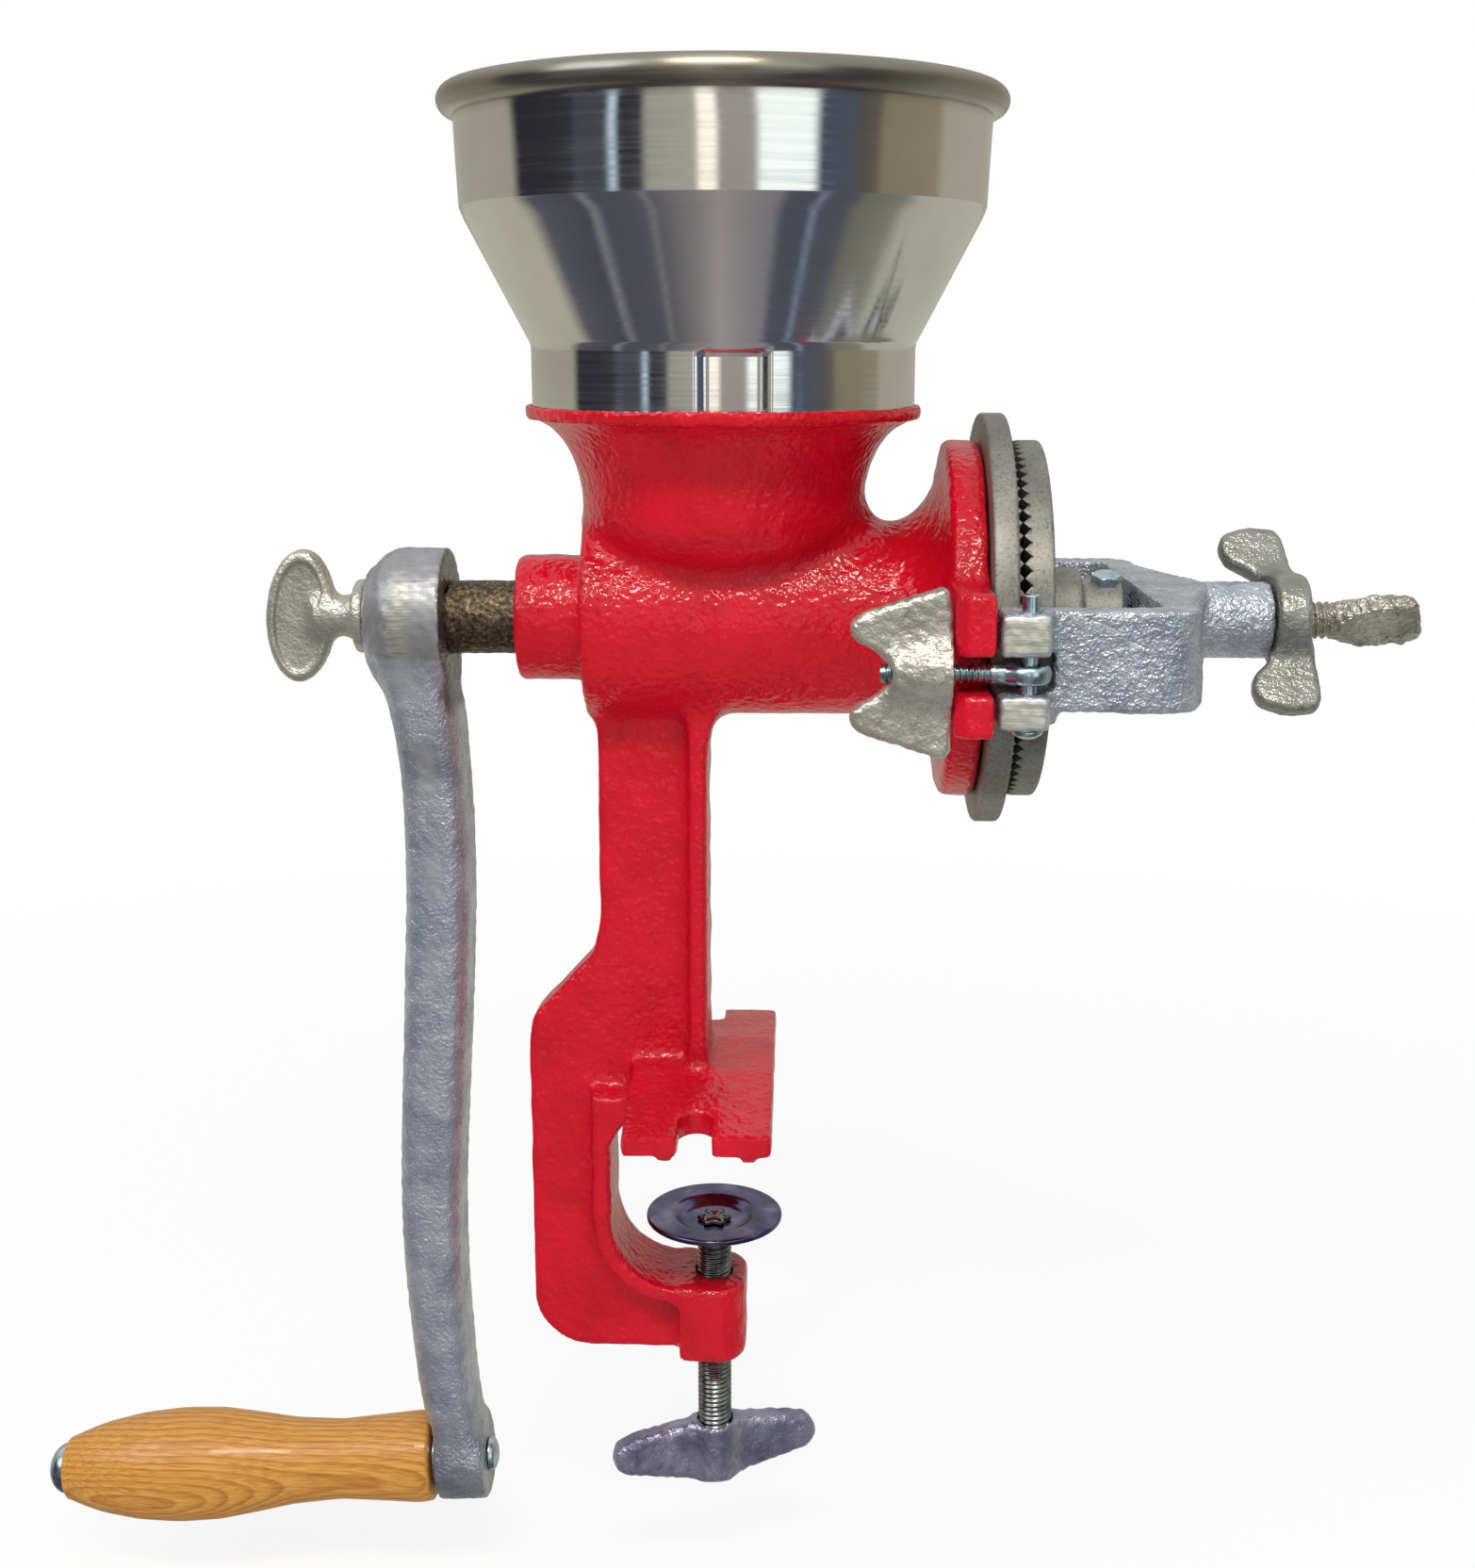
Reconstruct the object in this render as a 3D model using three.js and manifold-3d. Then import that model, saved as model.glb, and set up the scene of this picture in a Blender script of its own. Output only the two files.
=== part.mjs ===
// Hand crank plate mill for peanuts and grain, clamped to a table edge.
// Millimetres, +Z up. X runs along the shaft, from the crank at -X to the grinding discs at +X.
// Lengths below are measured from the shaft axis and from the axis of the clamp screw, which is X = 0.
import * as THREE from "three";
import { mergeVertices } from "three/addons/utils/BufferGeometryUtils.js";
import Module from "manifold-3d";

const wasm = await Module();
wasm.setup();

// Fits
const seatGap = 0.3;
const runGap = 0.35;

// Body casting
const shaftHeight = 135.5;
const barrelRadius = 27;
const barrelEndX = -33.4;
const snoutRadius = 16.6;
const snoutEndX = -51.5;
const chamberRadius = 22;
const chamberEndX = -29;
const flangeRadius = 47;
const flangeFrontX = 70.3;
const flangeThickness = 7;
const flangeNeckX = 47;
const hopperAxisX = 3;
const collarRadius = 49.7;
const lipWidth = 1.8;
const lipRadius = collarRadius + lipWidth;
const lipTop = 56.5;
const lipHeight = 5;
const socketDepth = 3.6;
const throatInset = 12.7;
const throatRadius = collarRadius - throatInset;
const throatHeight = 30;
const throatWall = 5;
const earLeftX = 59.7;
const earRightX = 69.4;
const earTop = 15;
const earBottom = -19.5;
const earChamfer = 3;
const bossChamfer = 1.2;

// Stand and table clamp
const webThickness = 10;
const ribWidth = 27;
const ribThickness = 5;
const pillarLeftX = -31.2;
const pillarRightX = -1.5;
const flareTop = 49.5 - shaftHeight;
const flareBottom = 20.5 - shaftHeight;
const spineLeftX = -51.6;
const spineInnerX = -28.5;
const jawTop = -190;
const jawDepth = 22.5;
const jawBottom = jawTop - jawDepth;
const jawEndX = 9.9;
const jawBossBottom = jawBottom - 0.9;
const jawBossX = -13;
const jawBossCorner = 8;
const outerCorner = 19;
const innerCorner = 17;
const footLeftX = -22.2;
const footRightX = 15.6;
const footLength = 99;
const footThickness = 5.7;
const footCrown = 4;
const footSlotWidth = 9;
const footSlotDepth = 14.5;
const footSlotX = -3;
const ridgeWidth = 5.8;
const ridgeDepth = 1.8;
const ridgeOffset = 11.2;

// Hopper
const hopperWall = 1.2;
const collarTop = 72;
const coneTop = 103;
const bowlSpread = 17;
const bowlRadius = collarRadius + bowlSpread;
const rimRadius = bowlRadius + 1.5;
const rimTop = 134;
const beadRadius = 3.6;
const dimpleWidth = 15;
const dimpleDepth = 1.6;
const dimpleTop = 69;
const dimpleTurn = 5;

// Shaft and worm
const shaftRadius = 9.75;
const shaftStubRadius = 8;
const shaftStubX = 66;
const tangFlats = 14.5;
const flightRadius = 21;
const flightPitch = 24;
const flightRoot = 4.2;
const flightTip = 2.4;

// Grinding discs
const fixedDiscRadius = 54;
const turningDiscRadius = 47;
const fixedPlate = 6.3;
const turningPlate = 4.8;
const toothCount = 80;
const toothHeight = 1.7;
const toothInnerRadius = 27;
const hubRadius = 13.8;
const hubLength = 11.8;
const hubNeckRadius = 11;
const hubNeckLength = 10.8;
const crossBoltAngle = 15;
const crossBoltSeat = 9.6;
const crossBoltHead = 3;
const crossBoltFlats = 7;
const crossBoltRadius = 2;
const crossNutHeight = 3.2;
const discScrewCircle = 38.5;
const discScrewRadius = 2.4;
const discScrewHead = 4.4;
const discHeadDepth = 3.4;
const ballRadius = 3.5;
const ballSeatDepth = 2;

// Yoke with its swing bolts
const clampDrop = 4.5;
const pinX = 77.6;
const pinY = 60.5;
const pinRadius = 2.15;
const pinTop = 14.4;
const pinHeadRadius = 3.7;
const pinHeadHeight = 2.4;
const armOuterY = 58;
const armInnerY = 49.5;
const yokeTop = 10;
const yokeBottom = -15;
const lugDepth = 6;
const lugLength = 11.9;
const lugUpperTop = 10.3;
const lugLowerBottom = -17.5;
const eyeSlot = 8.9;
const bridgeInnerX = 111;
const bridgeOuterX = 119.5;
const bridgeCorner = 6;
const noseRadius = 10.1;
const noseEndX = 147.5;
const swingBoltRadius = 2.5;
const swingBoltEndX = 42.4;
const eyeRadius = 5.4;
const eyeThickness = 5;
const wingNutHubRadius = 7.5;
const wingNutSpan = 41.2;
const wingNutLength = 24.5;
const wingNutHubLength = 13.5;
const wingThickness = 5.5;

// Adjusting screw and its lock nut
const adjusterRadius = 5;
const adjusterThreadEndX = noseEndX + 18.5;
const adjusterEndX = adjusterThreadEndX + 23.3;
const adjusterThumbWidth = 16;
const adjusterThumbThickness = 6;
const adjusterTurn = 50;
const lockHubRadius = 12.5;
const lockHubLength = 10.3;
const lockWingTip = 28;
const lockSweep = 9;
const lockLean = 2;
const lockTurn = 40;

// Crank
const crankHubRadius = 18;
const crankHubLength = 21.8;
const crankHubRightX = -70.5;
const crankHubNose = 11;
const crankThrow = 251.5;
const crankBossRadius = 12.5;
const crankBossX = -74.6;
const crankBossLength = 14.5;
const thumbHeadWidth = 17.6;
const thumbHeadHeight = 35;
const thumbHeadThickness = 7;
const thumbCollarRadius = 10.4;
const thumbCollarThickness = 4;
const thumbNeckRadius = 6;
const thumbNeckLength = 6.2;
const thumbShankRadius = 4;
const thumbShankLength = 16;
const gripTilt = 3.3;
const gripLength = 111;
const gripEndRadius = 13.2;
const gripNeckRadius = 11.3;
const gripBellyRadius = 16.2;
const gripTailRadius = 9.5;
const gripGap = 1.6;
const rivetRadius = 3;
const rivetDomeRadius = 7;
const rivetDomeHeight = 4.2;

// Table clamp screw
const padRadius = 19.4;
const padRise = 18;
const padTop = jawTop + padRise;
const padThickness = 1.6;
const padDish = 2.6;
const padDishRadius = 11;
const clampScrewRadius = 4.9;
const clampTipHeight = 1.6;
const handleDrop = 21.6;
const handleTop = jawBossBottom - handleDrop;
const handleHeight = 23;
const handleBottom = handleTop - handleHeight;
const handleSpan = 61;
const handleTurn = 18;
const handleThickness = 7;
const handleHubRadius = 6.4;

// Solids

// Turns a closed geometry into a solid, facing outwards whichever way its profile ran.
function solid(geometry) {
  const bare = new THREE.BufferGeometry();
  bare.setAttribute("position", geometry.getAttribute("position").clone());
  if (geometry.index) bare.setIndex(geometry.index.clone());
  const merged = mergeVertices(bare, 1e-4);
  const corners = [];
  const index = merged.index.array;
  for (let i = 0; i < index.length; i += 3) {
    const [a, b, c] = [index[i], index[i + 1], index[i + 2]];
    if (a !== b && b !== c && c !== a) corners.push(a, b, c);
  }
  const build = (triVerts) =>
    new wasm.Manifold(
      new wasm.Mesh({
        numProp: 3,
        vertProperties: new Float32Array(merged.attributes.position.array),
        triVerts: new Uint32Array(triVerts),
      }),
    );
  const made = build(corners);
  return made.volume() < 0 ? build(corners.reverse()) : made;
}

function join(...solids) {
  return solids.reduce((sum, next) => sum.add(next));
}

function cut(base, ...tools) {
  return tools.reduce((rest, tool) => rest.subtract(tool), base);
}

function place(geometry, x, y, z) {
  return geometry.translate(x, y, z);
}

function box(x0, x1, y0, y1, z0, z1) {
  const shape = new THREE.BoxGeometry(x1 - x0, y1 - y0, z1 - z0);
  return solid(place(shape, (x0 + x1) / 2, (y0 + y1) / 2, (z0 + z1) / 2));
}

// A profile of [along, radius] pairs turned about the X axis.
function turnedX(profile, segments = 36) {
  const points = profile.map(([along, radius]) => new THREE.Vector2(radius, along));
  return new THREE.LatheGeometry(points, segments).rotateZ(-Math.PI / 2);
}

// A profile of [radius, height] pairs turned about the Z axis.
function turnedZ(profile, segments = 36) {
  const points = profile.map(([radius, height]) => new THREE.Vector2(radius, height));
  return new THREE.LatheGeometry(points, segments).rotateX(Math.PI / 2);
}

function rodX(radius, x0, x1, y = 0, z = 0, segments = 24) {
  const profile = [[x0, 0], [x0, radius], [x1, radius], [x1, 0]];
  return solid(place(turnedX(profile, segments), 0, y, z));
}

function rodZ(radius, z0, z1, x = 0, y = 0, segments = 24) {
  const profile = [[0, z0], [radius, z0], [radius, z1], [0, z1]];
  return solid(place(turnedZ(profile, segments), x, y, 0));
}

// Points of an arc, angles in degrees.
function arc(cx, cy, radius, from, to, steps) {
  return Array.from({ length: steps + 1 }, (_, i) => {
    const angle = THREE.MathUtils.degToRad(from + ((to - from) * i) / steps);
    return [cx + radius * Math.cos(angle), cy + radius * Math.sin(angle)];
  });
}

function outline(points) {
  return new THREE.Shape(points.map(([x, y]) => new THREE.Vector2(x, y)));
}

// A flat outline given thickness about its own plane, with softened edges when edge is set.
function plate(points, thickness, edge = 0, steps = 1) {
  const shape = new THREE.ExtrudeGeometry(outline(points), {
    depth: thickness - 2 * edge,
    bevelEnabled: edge > 0,
    bevelThickness: edge,
    bevelSize: edge,
    bevelOffset: -edge,
    bevelSegments: steps,
    steps: 1,
  });
  return shape.translate(0, 0, edge - thickness / 2);
}

// Turns a plate drawn as [x, z] upright, so that its thickness lies along Y.
function upright(geometry) {
  return geometry.rotateX(Math.PI / 2);
}

// Joins rings of points, each with the same number of points, into one closed skin.
function loft(rings) {
  const count = rings[0].length;
  const positions = rings.flat(2);
  const index = [];
  for (let here = 0; here + count < rings.length * count; here += count) {
    for (let i = 0; i < count; i += 1) {
      const j = (i + 1) % count;
      index.push(here + i, here + j, here + count + i);
      index.push(here + j, here + count + j, here + count + i);
    }
  }
  const last = (rings.length - 1) * count;
  for (let i = 1; i + 1 < count; i += 1) {
    index.push(0, i + 1, i);
    index.push(last, last + i, last + i + 1);
  }
  const geometry = new THREE.BufferGeometry();
  geometry.setAttribute("position", new THREE.Float32BufferAttribute(positions, 3));
  geometry.setIndex(index);
  return geometry;
}

// Pieces and their colours
const mill = new THREE.Group();
mill.position.z = shaftHeight;

const redEnamel = { color: 0xc8142d, roughness: 0.28, metalness: 0 };
const silverPaint = { color: 0xa6a9b0, roughness: 0.5, metalness: 0.6 };
const polishedAluminium = { color: 0xd6d6d2, roughness: 0.18, metalness: 1 };
const greyIron = { color: 0x8f918e, roughness: 0.6, metalness: 0.7 };
const rawIron = { color: 0x4a4238, roughness: 0.6, metalness: 0.6 };
const zincPlate = { color: 0xb9c4cc, roughness: 0.25, metalness: 1 };
const bluedSteel = { color: 0x6c6c96, roughness: 0.25, metalness: 0.9 };
const varnishedWood = { color: 0xe0a04a, roughness: 0.4, metalness: 0 };

function addPiece(name, made, finish, parent = mill) {
  const mesh = made.getMesh();
  const vertices = new Float32Array(mesh.numVert * 3);
  for (let i = 0; i < mesh.numVert; i += 1) {
    for (let axis = 0; axis < 3; axis += 1) {
      vertices[i * 3 + axis] = mesh.vertProperties[i * mesh.numProp + axis];
    }
  }
  const geometry = new THREE.BufferGeometry();
  geometry.setAttribute("position", new THREE.BufferAttribute(vertices, 3));
  geometry.setIndex(new THREE.BufferAttribute(new Uint32Array(mesh.triVerts), 1));
  const faceted = geometry.toNonIndexed();
  faceted.computeVertexNormals();
  const piece = new THREE.Mesh(faceted, new THREE.MeshStandardMaterial(finish));
  piece.name = name;
  parent.add(piece);
  return piece;
}

// Body casting: barrel, throat, stand, foot and table clamp in one iron casting

const flangeBackX = flangeFrontX - flangeThickness;

function barrelOutside() {
  const bell = flangeBackX - flangeNeckX;
  const rise = flangeRadius - 1 - barrelRadius;
  const bellCurve = Array.from({ length: 6 }, (_, i) => {
    const t = i / 5;
    const along = Math.sin((t * Math.PI) / 2);
    const up = 1 - Math.cos((t * Math.PI) / 2);
    return [flangeNeckX + bell * along * 0.92, barrelRadius + rise * up * 0.97];
  });
  return solid(
    turnedX(
      [
        [snoutEndX, 0],
        [snoutEndX, snoutRadius - bossChamfer],
        [snoutEndX + bossChamfer, snoutRadius],
        [barrelEndX, snoutRadius],
        [barrelEndX, barrelRadius - 3],
        [barrelEndX + 1, barrelRadius - 1],
        [barrelEndX + 3, barrelRadius],
        ...bellCurve,
        [flangeBackX, flangeRadius],
        [flangeFrontX, flangeRadius],
        [flangeFrontX, 0],
      ],
      24,
    ),
  );
}

// The throat and the hopper's collar share their facets, so that they fit all round.
const throatSegments = 28;

function throatOutside() {
  const lipBottom = lipTop - lipHeight;
  const sweep = arc(0, 0, 1, 90, 180, 5).map(([x, y]) => [
    throatRadius + (lipRadius - 0.5 - throatRadius) * (1 + x),
    throatHeight + (lipBottom - 0.5 - throatHeight) * y,
  ]);
  const bowl = arc(0, 0, 1, 0, -90, 4).map(([x, y]) => [
    Math.max(throatRadius * x, 0),
    throatHeight + (throatHeight + barrelRadius / 2) * y,
  ]);
  const profile = [
    [0, lipTop],
    [lipRadius - 0.6, lipTop],
    [lipRadius, lipTop - 0.6],
    [lipRadius, lipBottom + 0.6],
    ...sweep,
    ...bowl,
  ];
  return solid(place(turnedZ(profile, throatSegments), hopperAxisX, 0, 0));
}

const standPlane = (geometry) => solid(upright(geometry));
const webEndX = jawBossX + 6;

function standWeb() {
  const flareRight = [pillarRightX - 1, footTop];
  const outer = [
    [pillarLeftX, -barrelRadius / 2],
    [pillarLeftX, flareTop],
    [pillarLeftX - 1.5, flareTop - 6],
    [pillarLeftX - 5.5, flareTop - 11],
    [spineLeftX + 5, flareBottom + 7],
    [spineLeftX + 1.2, flareBottom + 2],
    [spineLeftX, flareBottom - 4],
    ...arc(spineLeftX + outerCorner, jawBottom + outerCorner, outerCorner, 180, 270, 5),
    [webEndX, jawBottom],
    [webEndX, jawTop],
    ...arc(spineInnerX + innerCorner, jawTop + innerCorner, innerCorner, 270, 180, 6),
    [spineInnerX, footUnderside + 1],
    [footLeftX + 6, footUnderside + 1],
    flareRight,
    [pillarRightX - 1, -barrelRadius / 2],
  ];
  return standPlane(plate(outer, webThickness, 1.5, 1));
}

// The wide rib down the front of the pillar.
function pillarRib() {
  const line = [
    [pillarRightX - ribThickness, -barrelRadius / 2],
    [pillarRightX - ribThickness, footTop - 2],
    [pillarRightX, footTop - 2],
    [pillarRightX, -barrelRadius / 2],
  ];
  return standPlane(plate(line, ribWidth, 1, 1));
}

// The wide rib round the inside of the clamp, down the spine and out along the jaw.
function clampRib() {
  const inside = [
    [spineInnerX, footUnderside + 1.5],
    ...arc(spineInnerX + innerCorner, jawTop + innerCorner, innerCorner, 180, 270, 6),
    [webEndX, jawTop],
  ];
  const outside = [
    [webEndX, jawTop - ribThickness],
    ...arc(
      spineInnerX + innerCorner,
      jawTop + innerCorner,
      innerCorner + ribThickness,
      270,
      180,
      6,
    ),
    [spineInnerX - ribThickness, footUnderside + 5],
    [spineInnerX, footUnderside + 5],
  ];
  return standPlane(plate([...inside, ...outside], ribWidth, 1, 1));
}

function jawBoss() {
  const half = ribWidth / 2;
  const plan = [
    [jawBossX, -half],
    ...arc(jawEndX - jawBossCorner, jawBossCorner - half, jawBossCorner, -90, 0, 4),
    ...arc(jawEndX - jawBossCorner, half - jawBossCorner, jawBossCorner, 0, 90, 4),
    [jawBossX, half],
  ];
  const height = jawTop - jawBossBottom;
  const block = plate(plan, height, 1.8, 1);
  return solid(place(block, 0, 0, (jawTop + jawBossBottom) / 2));
}

const footUnderside = ridgeDepth - shaftHeight;
const footTop = footUnderside + footThickness + footCrown;

function tableFoot() {
  const half = footLength / 2;
  const profile = [
    [-half, footUnderside],
    [half, footUnderside],
    [half, footUnderside + footThickness],
    [ribWidth / 2, footTop],
    [-ribWidth / 2, footTop],
    [-half, footUnderside + footThickness],
  ];
  const width = footRightX - footLeftX;
  const body = plate(profile, width, 0.8, 1)
    .rotateX(Math.PI / 2)
    .rotateZ(Math.PI / 2);
  const foot = solid(place(body, (footLeftX + footRightX) / 2, 0, 0));
  const ridges = [-ridgeOffset, ridgeOffset].map((x) => {
    const section = [
      [x - ridgeWidth / 2, footUnderside + 1],
      [x - ridgeWidth / 2 + 1.2, -shaftHeight],
      [x + ridgeWidth / 2 - 1.2, -shaftHeight],
      [x + ridgeWidth / 2, footUnderside + 1],
    ];
    return solid(upright(plate(section, footLength - 2)));
  });
  return join(foot, ...ridges);
}

function footSlot(side) {
  const half = footLength / 2;
  const back = half - footSlotDepth;
  const rounding = footSlotWidth / 2;
  const depth = footThickness + footCrown + ridgeDepth + 4;
  const plan = [
    ...arc(footSlotX, back + rounding, rounding, 180, 360, 6),
    [footSlotX + rounding, half + 1],
    [footSlotX - rounding, half + 1],
  ].map(([x, y]) => [x, side * y]);
  return solid(place(plate(plan, depth), 0, 0, footUnderside + depth / 2 - ridgeDepth - 2));
}

const slotTop = -clampDrop + eyeSlot / 2;
const slotBottom = -clampDrop - eyeSlot / 2;
const earOuterY = pinY + lugDepth;

// An ear of the flange; its outer back edge is cut away so that the swing bolt's nut can leave it.
function ear(side, bottom, top) {
  const plan = [
    [earLeftX, side * (flangeRadius - 12)],
    [earRightX, side * (flangeRadius - 12)],
    [earRightX, side * (earOuterY - 0.8)],
    [earRightX - 0.8, side * earOuterY],
    [earLeftX + earChamfer, side * earOuterY],
    [earLeftX, side * (earOuterY - earChamfer)],
  ];
  return solid(place(plate(plan, top - bottom, 0.8, 1), 0, 0, (top + bottom) / 2));
}

function chamber() {
  return solid(
    turnedX(
      [
        [chamberEndX, 0],
        [chamberEndX, chamberRadius - 2],
        [chamberEndX + 2, chamberRadius],
        [flangeFrontX + 1, chamberRadius],
        [flangeFrontX + 1, 0],
      ],
      24,
    ),
  );
}

const socketFloor = lipTop - socketDepth;
const socketRadius = collarRadius + seatGap;

function throatInside() {
  const inner = throatRadius - throatWall;
  return solid(
    place(
      turnedZ(
        [
          [0, lipTop + 1],
          [socketRadius, lipTop + 1],
          [socketRadius, socketFloor],
          [socketRadius - 4, socketFloor],
          [inner + 4, throatHeight + 17],
          [inner + 1, throatHeight + 8],
          [inner, throatHeight],
          [inner - 2, throatHeight - 8],
          [chamberRadius - 2, barrelRadius / 4],
          [0, barrelRadius / 4],
        ],
        throatSegments,
      ),
      hopperAxisX,
      0,
      0,
    ),
  );
}

function makeBody() {
  const ears = [-1, 1].flatMap((side) => [
    ear(side, slotTop, earTop),
    ear(side, earBottom, slotBottom),
  ]);
  const shell = join(
    barrelOutside(),
    throatOutside(),
    standWeb(),
    pillarRib(),
    clampRib(),
    jawBoss(),
    tableFoot(),
    ...ears,
  );
  const screwHoles = [90, 270].map((angle) => {
    const [y, z] = arc(0, 0, discScrewCircle, angle, angle, 1)[0];
    return rodX(discScrewRadius + seatGap, flangeBackX - 2, flangeFrontX + 1, y, z, 12);
  });
  return cut(
    shell,
    chamber(),
    throatInside(),
    rodX(shaftRadius + runGap, snoutEndX - 1, chamberEndX + 1),
    rodZ(clampScrewRadius + runGap, jawBossBottom - 1, jawTop + 1),
    footSlot(-1),
    footSlot(1),
    ...screwHoles,
  );
}

addPiece("body_casting", makeBody(), redEnamel);

// Hopper: one spun bowl, rolled at the rim and pressed with a locating dimple in the collar
function makeHopper() {
  const foot = socketFloor + seatGap;
  const beadHeight = rimTop - beadRadius;
  const inner = (radius) => radius - hopperWall;
  const bead = arc(rimRadius + 0.4, beadHeight, beadRadius, -97, 180, 6);
  const outside = [
    [collarRadius, foot],
    [collarRadius, collarTop - 1],
    [collarRadius + 1, collarTop + 0.6],
    [bowlRadius - 1.2, coneTop - 2.2],
    [bowlRadius, coneTop + 1],
    ...bead,
  ];
  const inside = [
    [inner(rimRadius), beadHeight - 2],
    [inner(bowlRadius), coneTop + 1],
    [inner(bowlRadius) - 1, coneTop - 1.8],
    [inner(collarRadius) + 1, collarTop + 1.1],
    [inner(collarRadius), collarTop - 0.6],
    [inner(collarRadius), foot],
  ];
  const profile = [...outside, ...inside, outside[0]];
  const bowl = solid(turnedZ(profile, throatSegments));
  const press = (near, far, spread) => {
    const half = dimpleWidth / 2 + spread;
    return box(-half, half, -far, -near, foot + 2 - spread, dimpleTop + spread);
  };
  const lining = press(collarRadius - dimpleDepth - hopperWall - 0.6, collarRadius - hopperWall, 1);
  const pocket = press(collarRadius - dimpleDepth, collarRadius + 1, 0);
  const made = cut(join(bowl, lining), pocket);
  const turned = made.rotate([0, 0, dimpleTurn]);
  return turned.translate([hopperAxisX, 0, 0]);
}

addPiece("hopper", makeHopper(), polishedAluminium);

// Shaft and feed worm, one raw casting with a flatted end for the crank
const crankHubLeftX = crankHubRightX - crankHubLength;
const hubWall = 6;
const tangEndX = crankHubLeftX + hubWall + seatGap;
const fixedBackX = flangeFrontX + seatGap;
const fixedValleyX = fixedBackX + fixedPlate;
const fixedPeakX = fixedValleyX + toothHeight;
const turningPeakX = fixedPeakX + seatGap;
const turningValleyX = turningPeakX + toothHeight;
const turningBackX = turningValleyX + turningPlate;
const neckX = turningBackX + hubLength;
const hubEndX = neckX + hubNeckLength;
const crossBoltX = hubEndX - crossBoltFlats / 2 - 0.5;
const shaftEndX = hubEndX - seatGap;

function wormFlight() {
  const startX = chamberEndX + 3;
  const length = shaftStubX - startX;
  const stepsPerTurn = 12;
  const steps = Math.round((length / flightPitch) * stepsPerTurn);
  const rings = Array.from({ length: steps + 1 }, (_, i) => {
    const share = i / steps;
    const x = startX + flightRoot / 2 + (length - flightRoot) * share;
    const angle = (i / stepsPerTurn) * 2 * Math.PI;
    const run = Math.min(1, i / 6, (steps - i) / 6);
    const tip = shaftRadius + (flightRadius - shaftRadius) * Math.max(run, 0.15);
    const point = (along, radius) => [x + along, radius * Math.cos(angle), radius * Math.sin(angle)];
    return [
      point(-flightRoot / 2, shaftRadius - 2),
      point(flightRoot / 2, shaftRadius - 2),
      point(flightTip / 2, tip),
      point(-flightTip / 2, tip),
    ];
  });
  return solid(loft(rings));
}

function makeWormShaft() {
  const core = solid(
    turnedX(
      [
        [tangEndX, 0],
        [tangEndX, shaftRadius - 1],
        [tangEndX + 1, shaftRadius],
        [shaftStubX, shaftRadius],
        [shaftStubX, shaftStubRadius],
        [shaftEndX, shaftStubRadius],
        [shaftEndX, ballRadius + seatGap],
        [shaftEndX - ballSeatDepth, ballRadius + seatGap],
        [shaftEndX - ballSeatDepth, 0],
      ],
      16,
    ),
  );
  const flats = [-1, 1].map((side) => {
    const near = (side * tangFlats) / 2;
    const far = side * (shaftRadius + 1);
    const shoulder = crankHubRightX + seatGap;
    return box(tangEndX - 1, shoulder, -shaftRadius, shaftRadius, Math.min(near, far), Math.max(near, far));
  });
  const threaded = rodX(thumbShankRadius + seatGap, tangEndX - 1, tangEndX + thumbShankLength, 0, 0, 16);
  return cut(join(core, wormFlight()), ...flats, threaded, crossHole(shaftStubRadius + 4));
}

// A hole right across the shaft for the bolt that holds the turning disc.
function crossHole(reach) {
  const hole = rodZ(crossBoltRadius + seatGap, -reach, reach, 0, 0, 16);
  return hole.rotate([crossBoltAngle, 0, 0]).translate([crossBoltX, 0, 0]);
}

addPiece("worm_shaft", makeWormShaft(), rawIron);

// Grinding discs: radial V teeth, so that facing valleys make a row of diamonds at the rim

// One circle of a disc's skin about the X axis; every second point of a toothed one stands out by rise.
function circle(x, radius, count, rise = 0) {
  return Array.from({ length: count }, (_, i) => {
    const angle = (i * 2 * Math.PI) / count;
    return [x + (i % 2 ? rise : 0), radius * Math.cos(angle), radius * Math.sin(angle)];
  });
}

// Closes a skin over circles whose counts divide one another, the last circle back to the first.
function discSkin(circles) {
  const starts = circles.map((_, k) => circles.slice(0, k).flat().length);
  const index = [];
  circles.forEach((here, k) => {
    const next = (k + 1) % circles.length;
    const wide = here.length >= circles[next].length ? k : next;
    const slim = wide === k ? next : k;
    const [many, few] = [circles[wide].length, circles[slim].length];
    const share = many / few;
    const corner = (i) => starts[wide] + (i % many);
    for (let i = 0; i < few; i += 1) {
      const pivot = starts[slim] + i;
      const after = starts[slim] + ((i + 1) % few);
      const faces = Array.from({ length: share }, (_, j) => [
        pivot,
        corner(i * share + j),
        corner(i * share + j + 1),
      ]);
      faces.push([pivot, corner((i + 1) * share), after]);
      faces.forEach((face) => index.push(...(wide === k ? face : face.reverse())));
    }
  });
  const geometry = new THREE.BufferGeometry();
  geometry.setAttribute("position", new THREE.Float32BufferAttribute(circles.flat(2), 3));
  geometry.setIndex(index);
  return geometry;
}

const toothPoints = 2 * toothCount;
const rimPoints = toothCount / 2;
const hubPoints = toothCount / 4;

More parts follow.
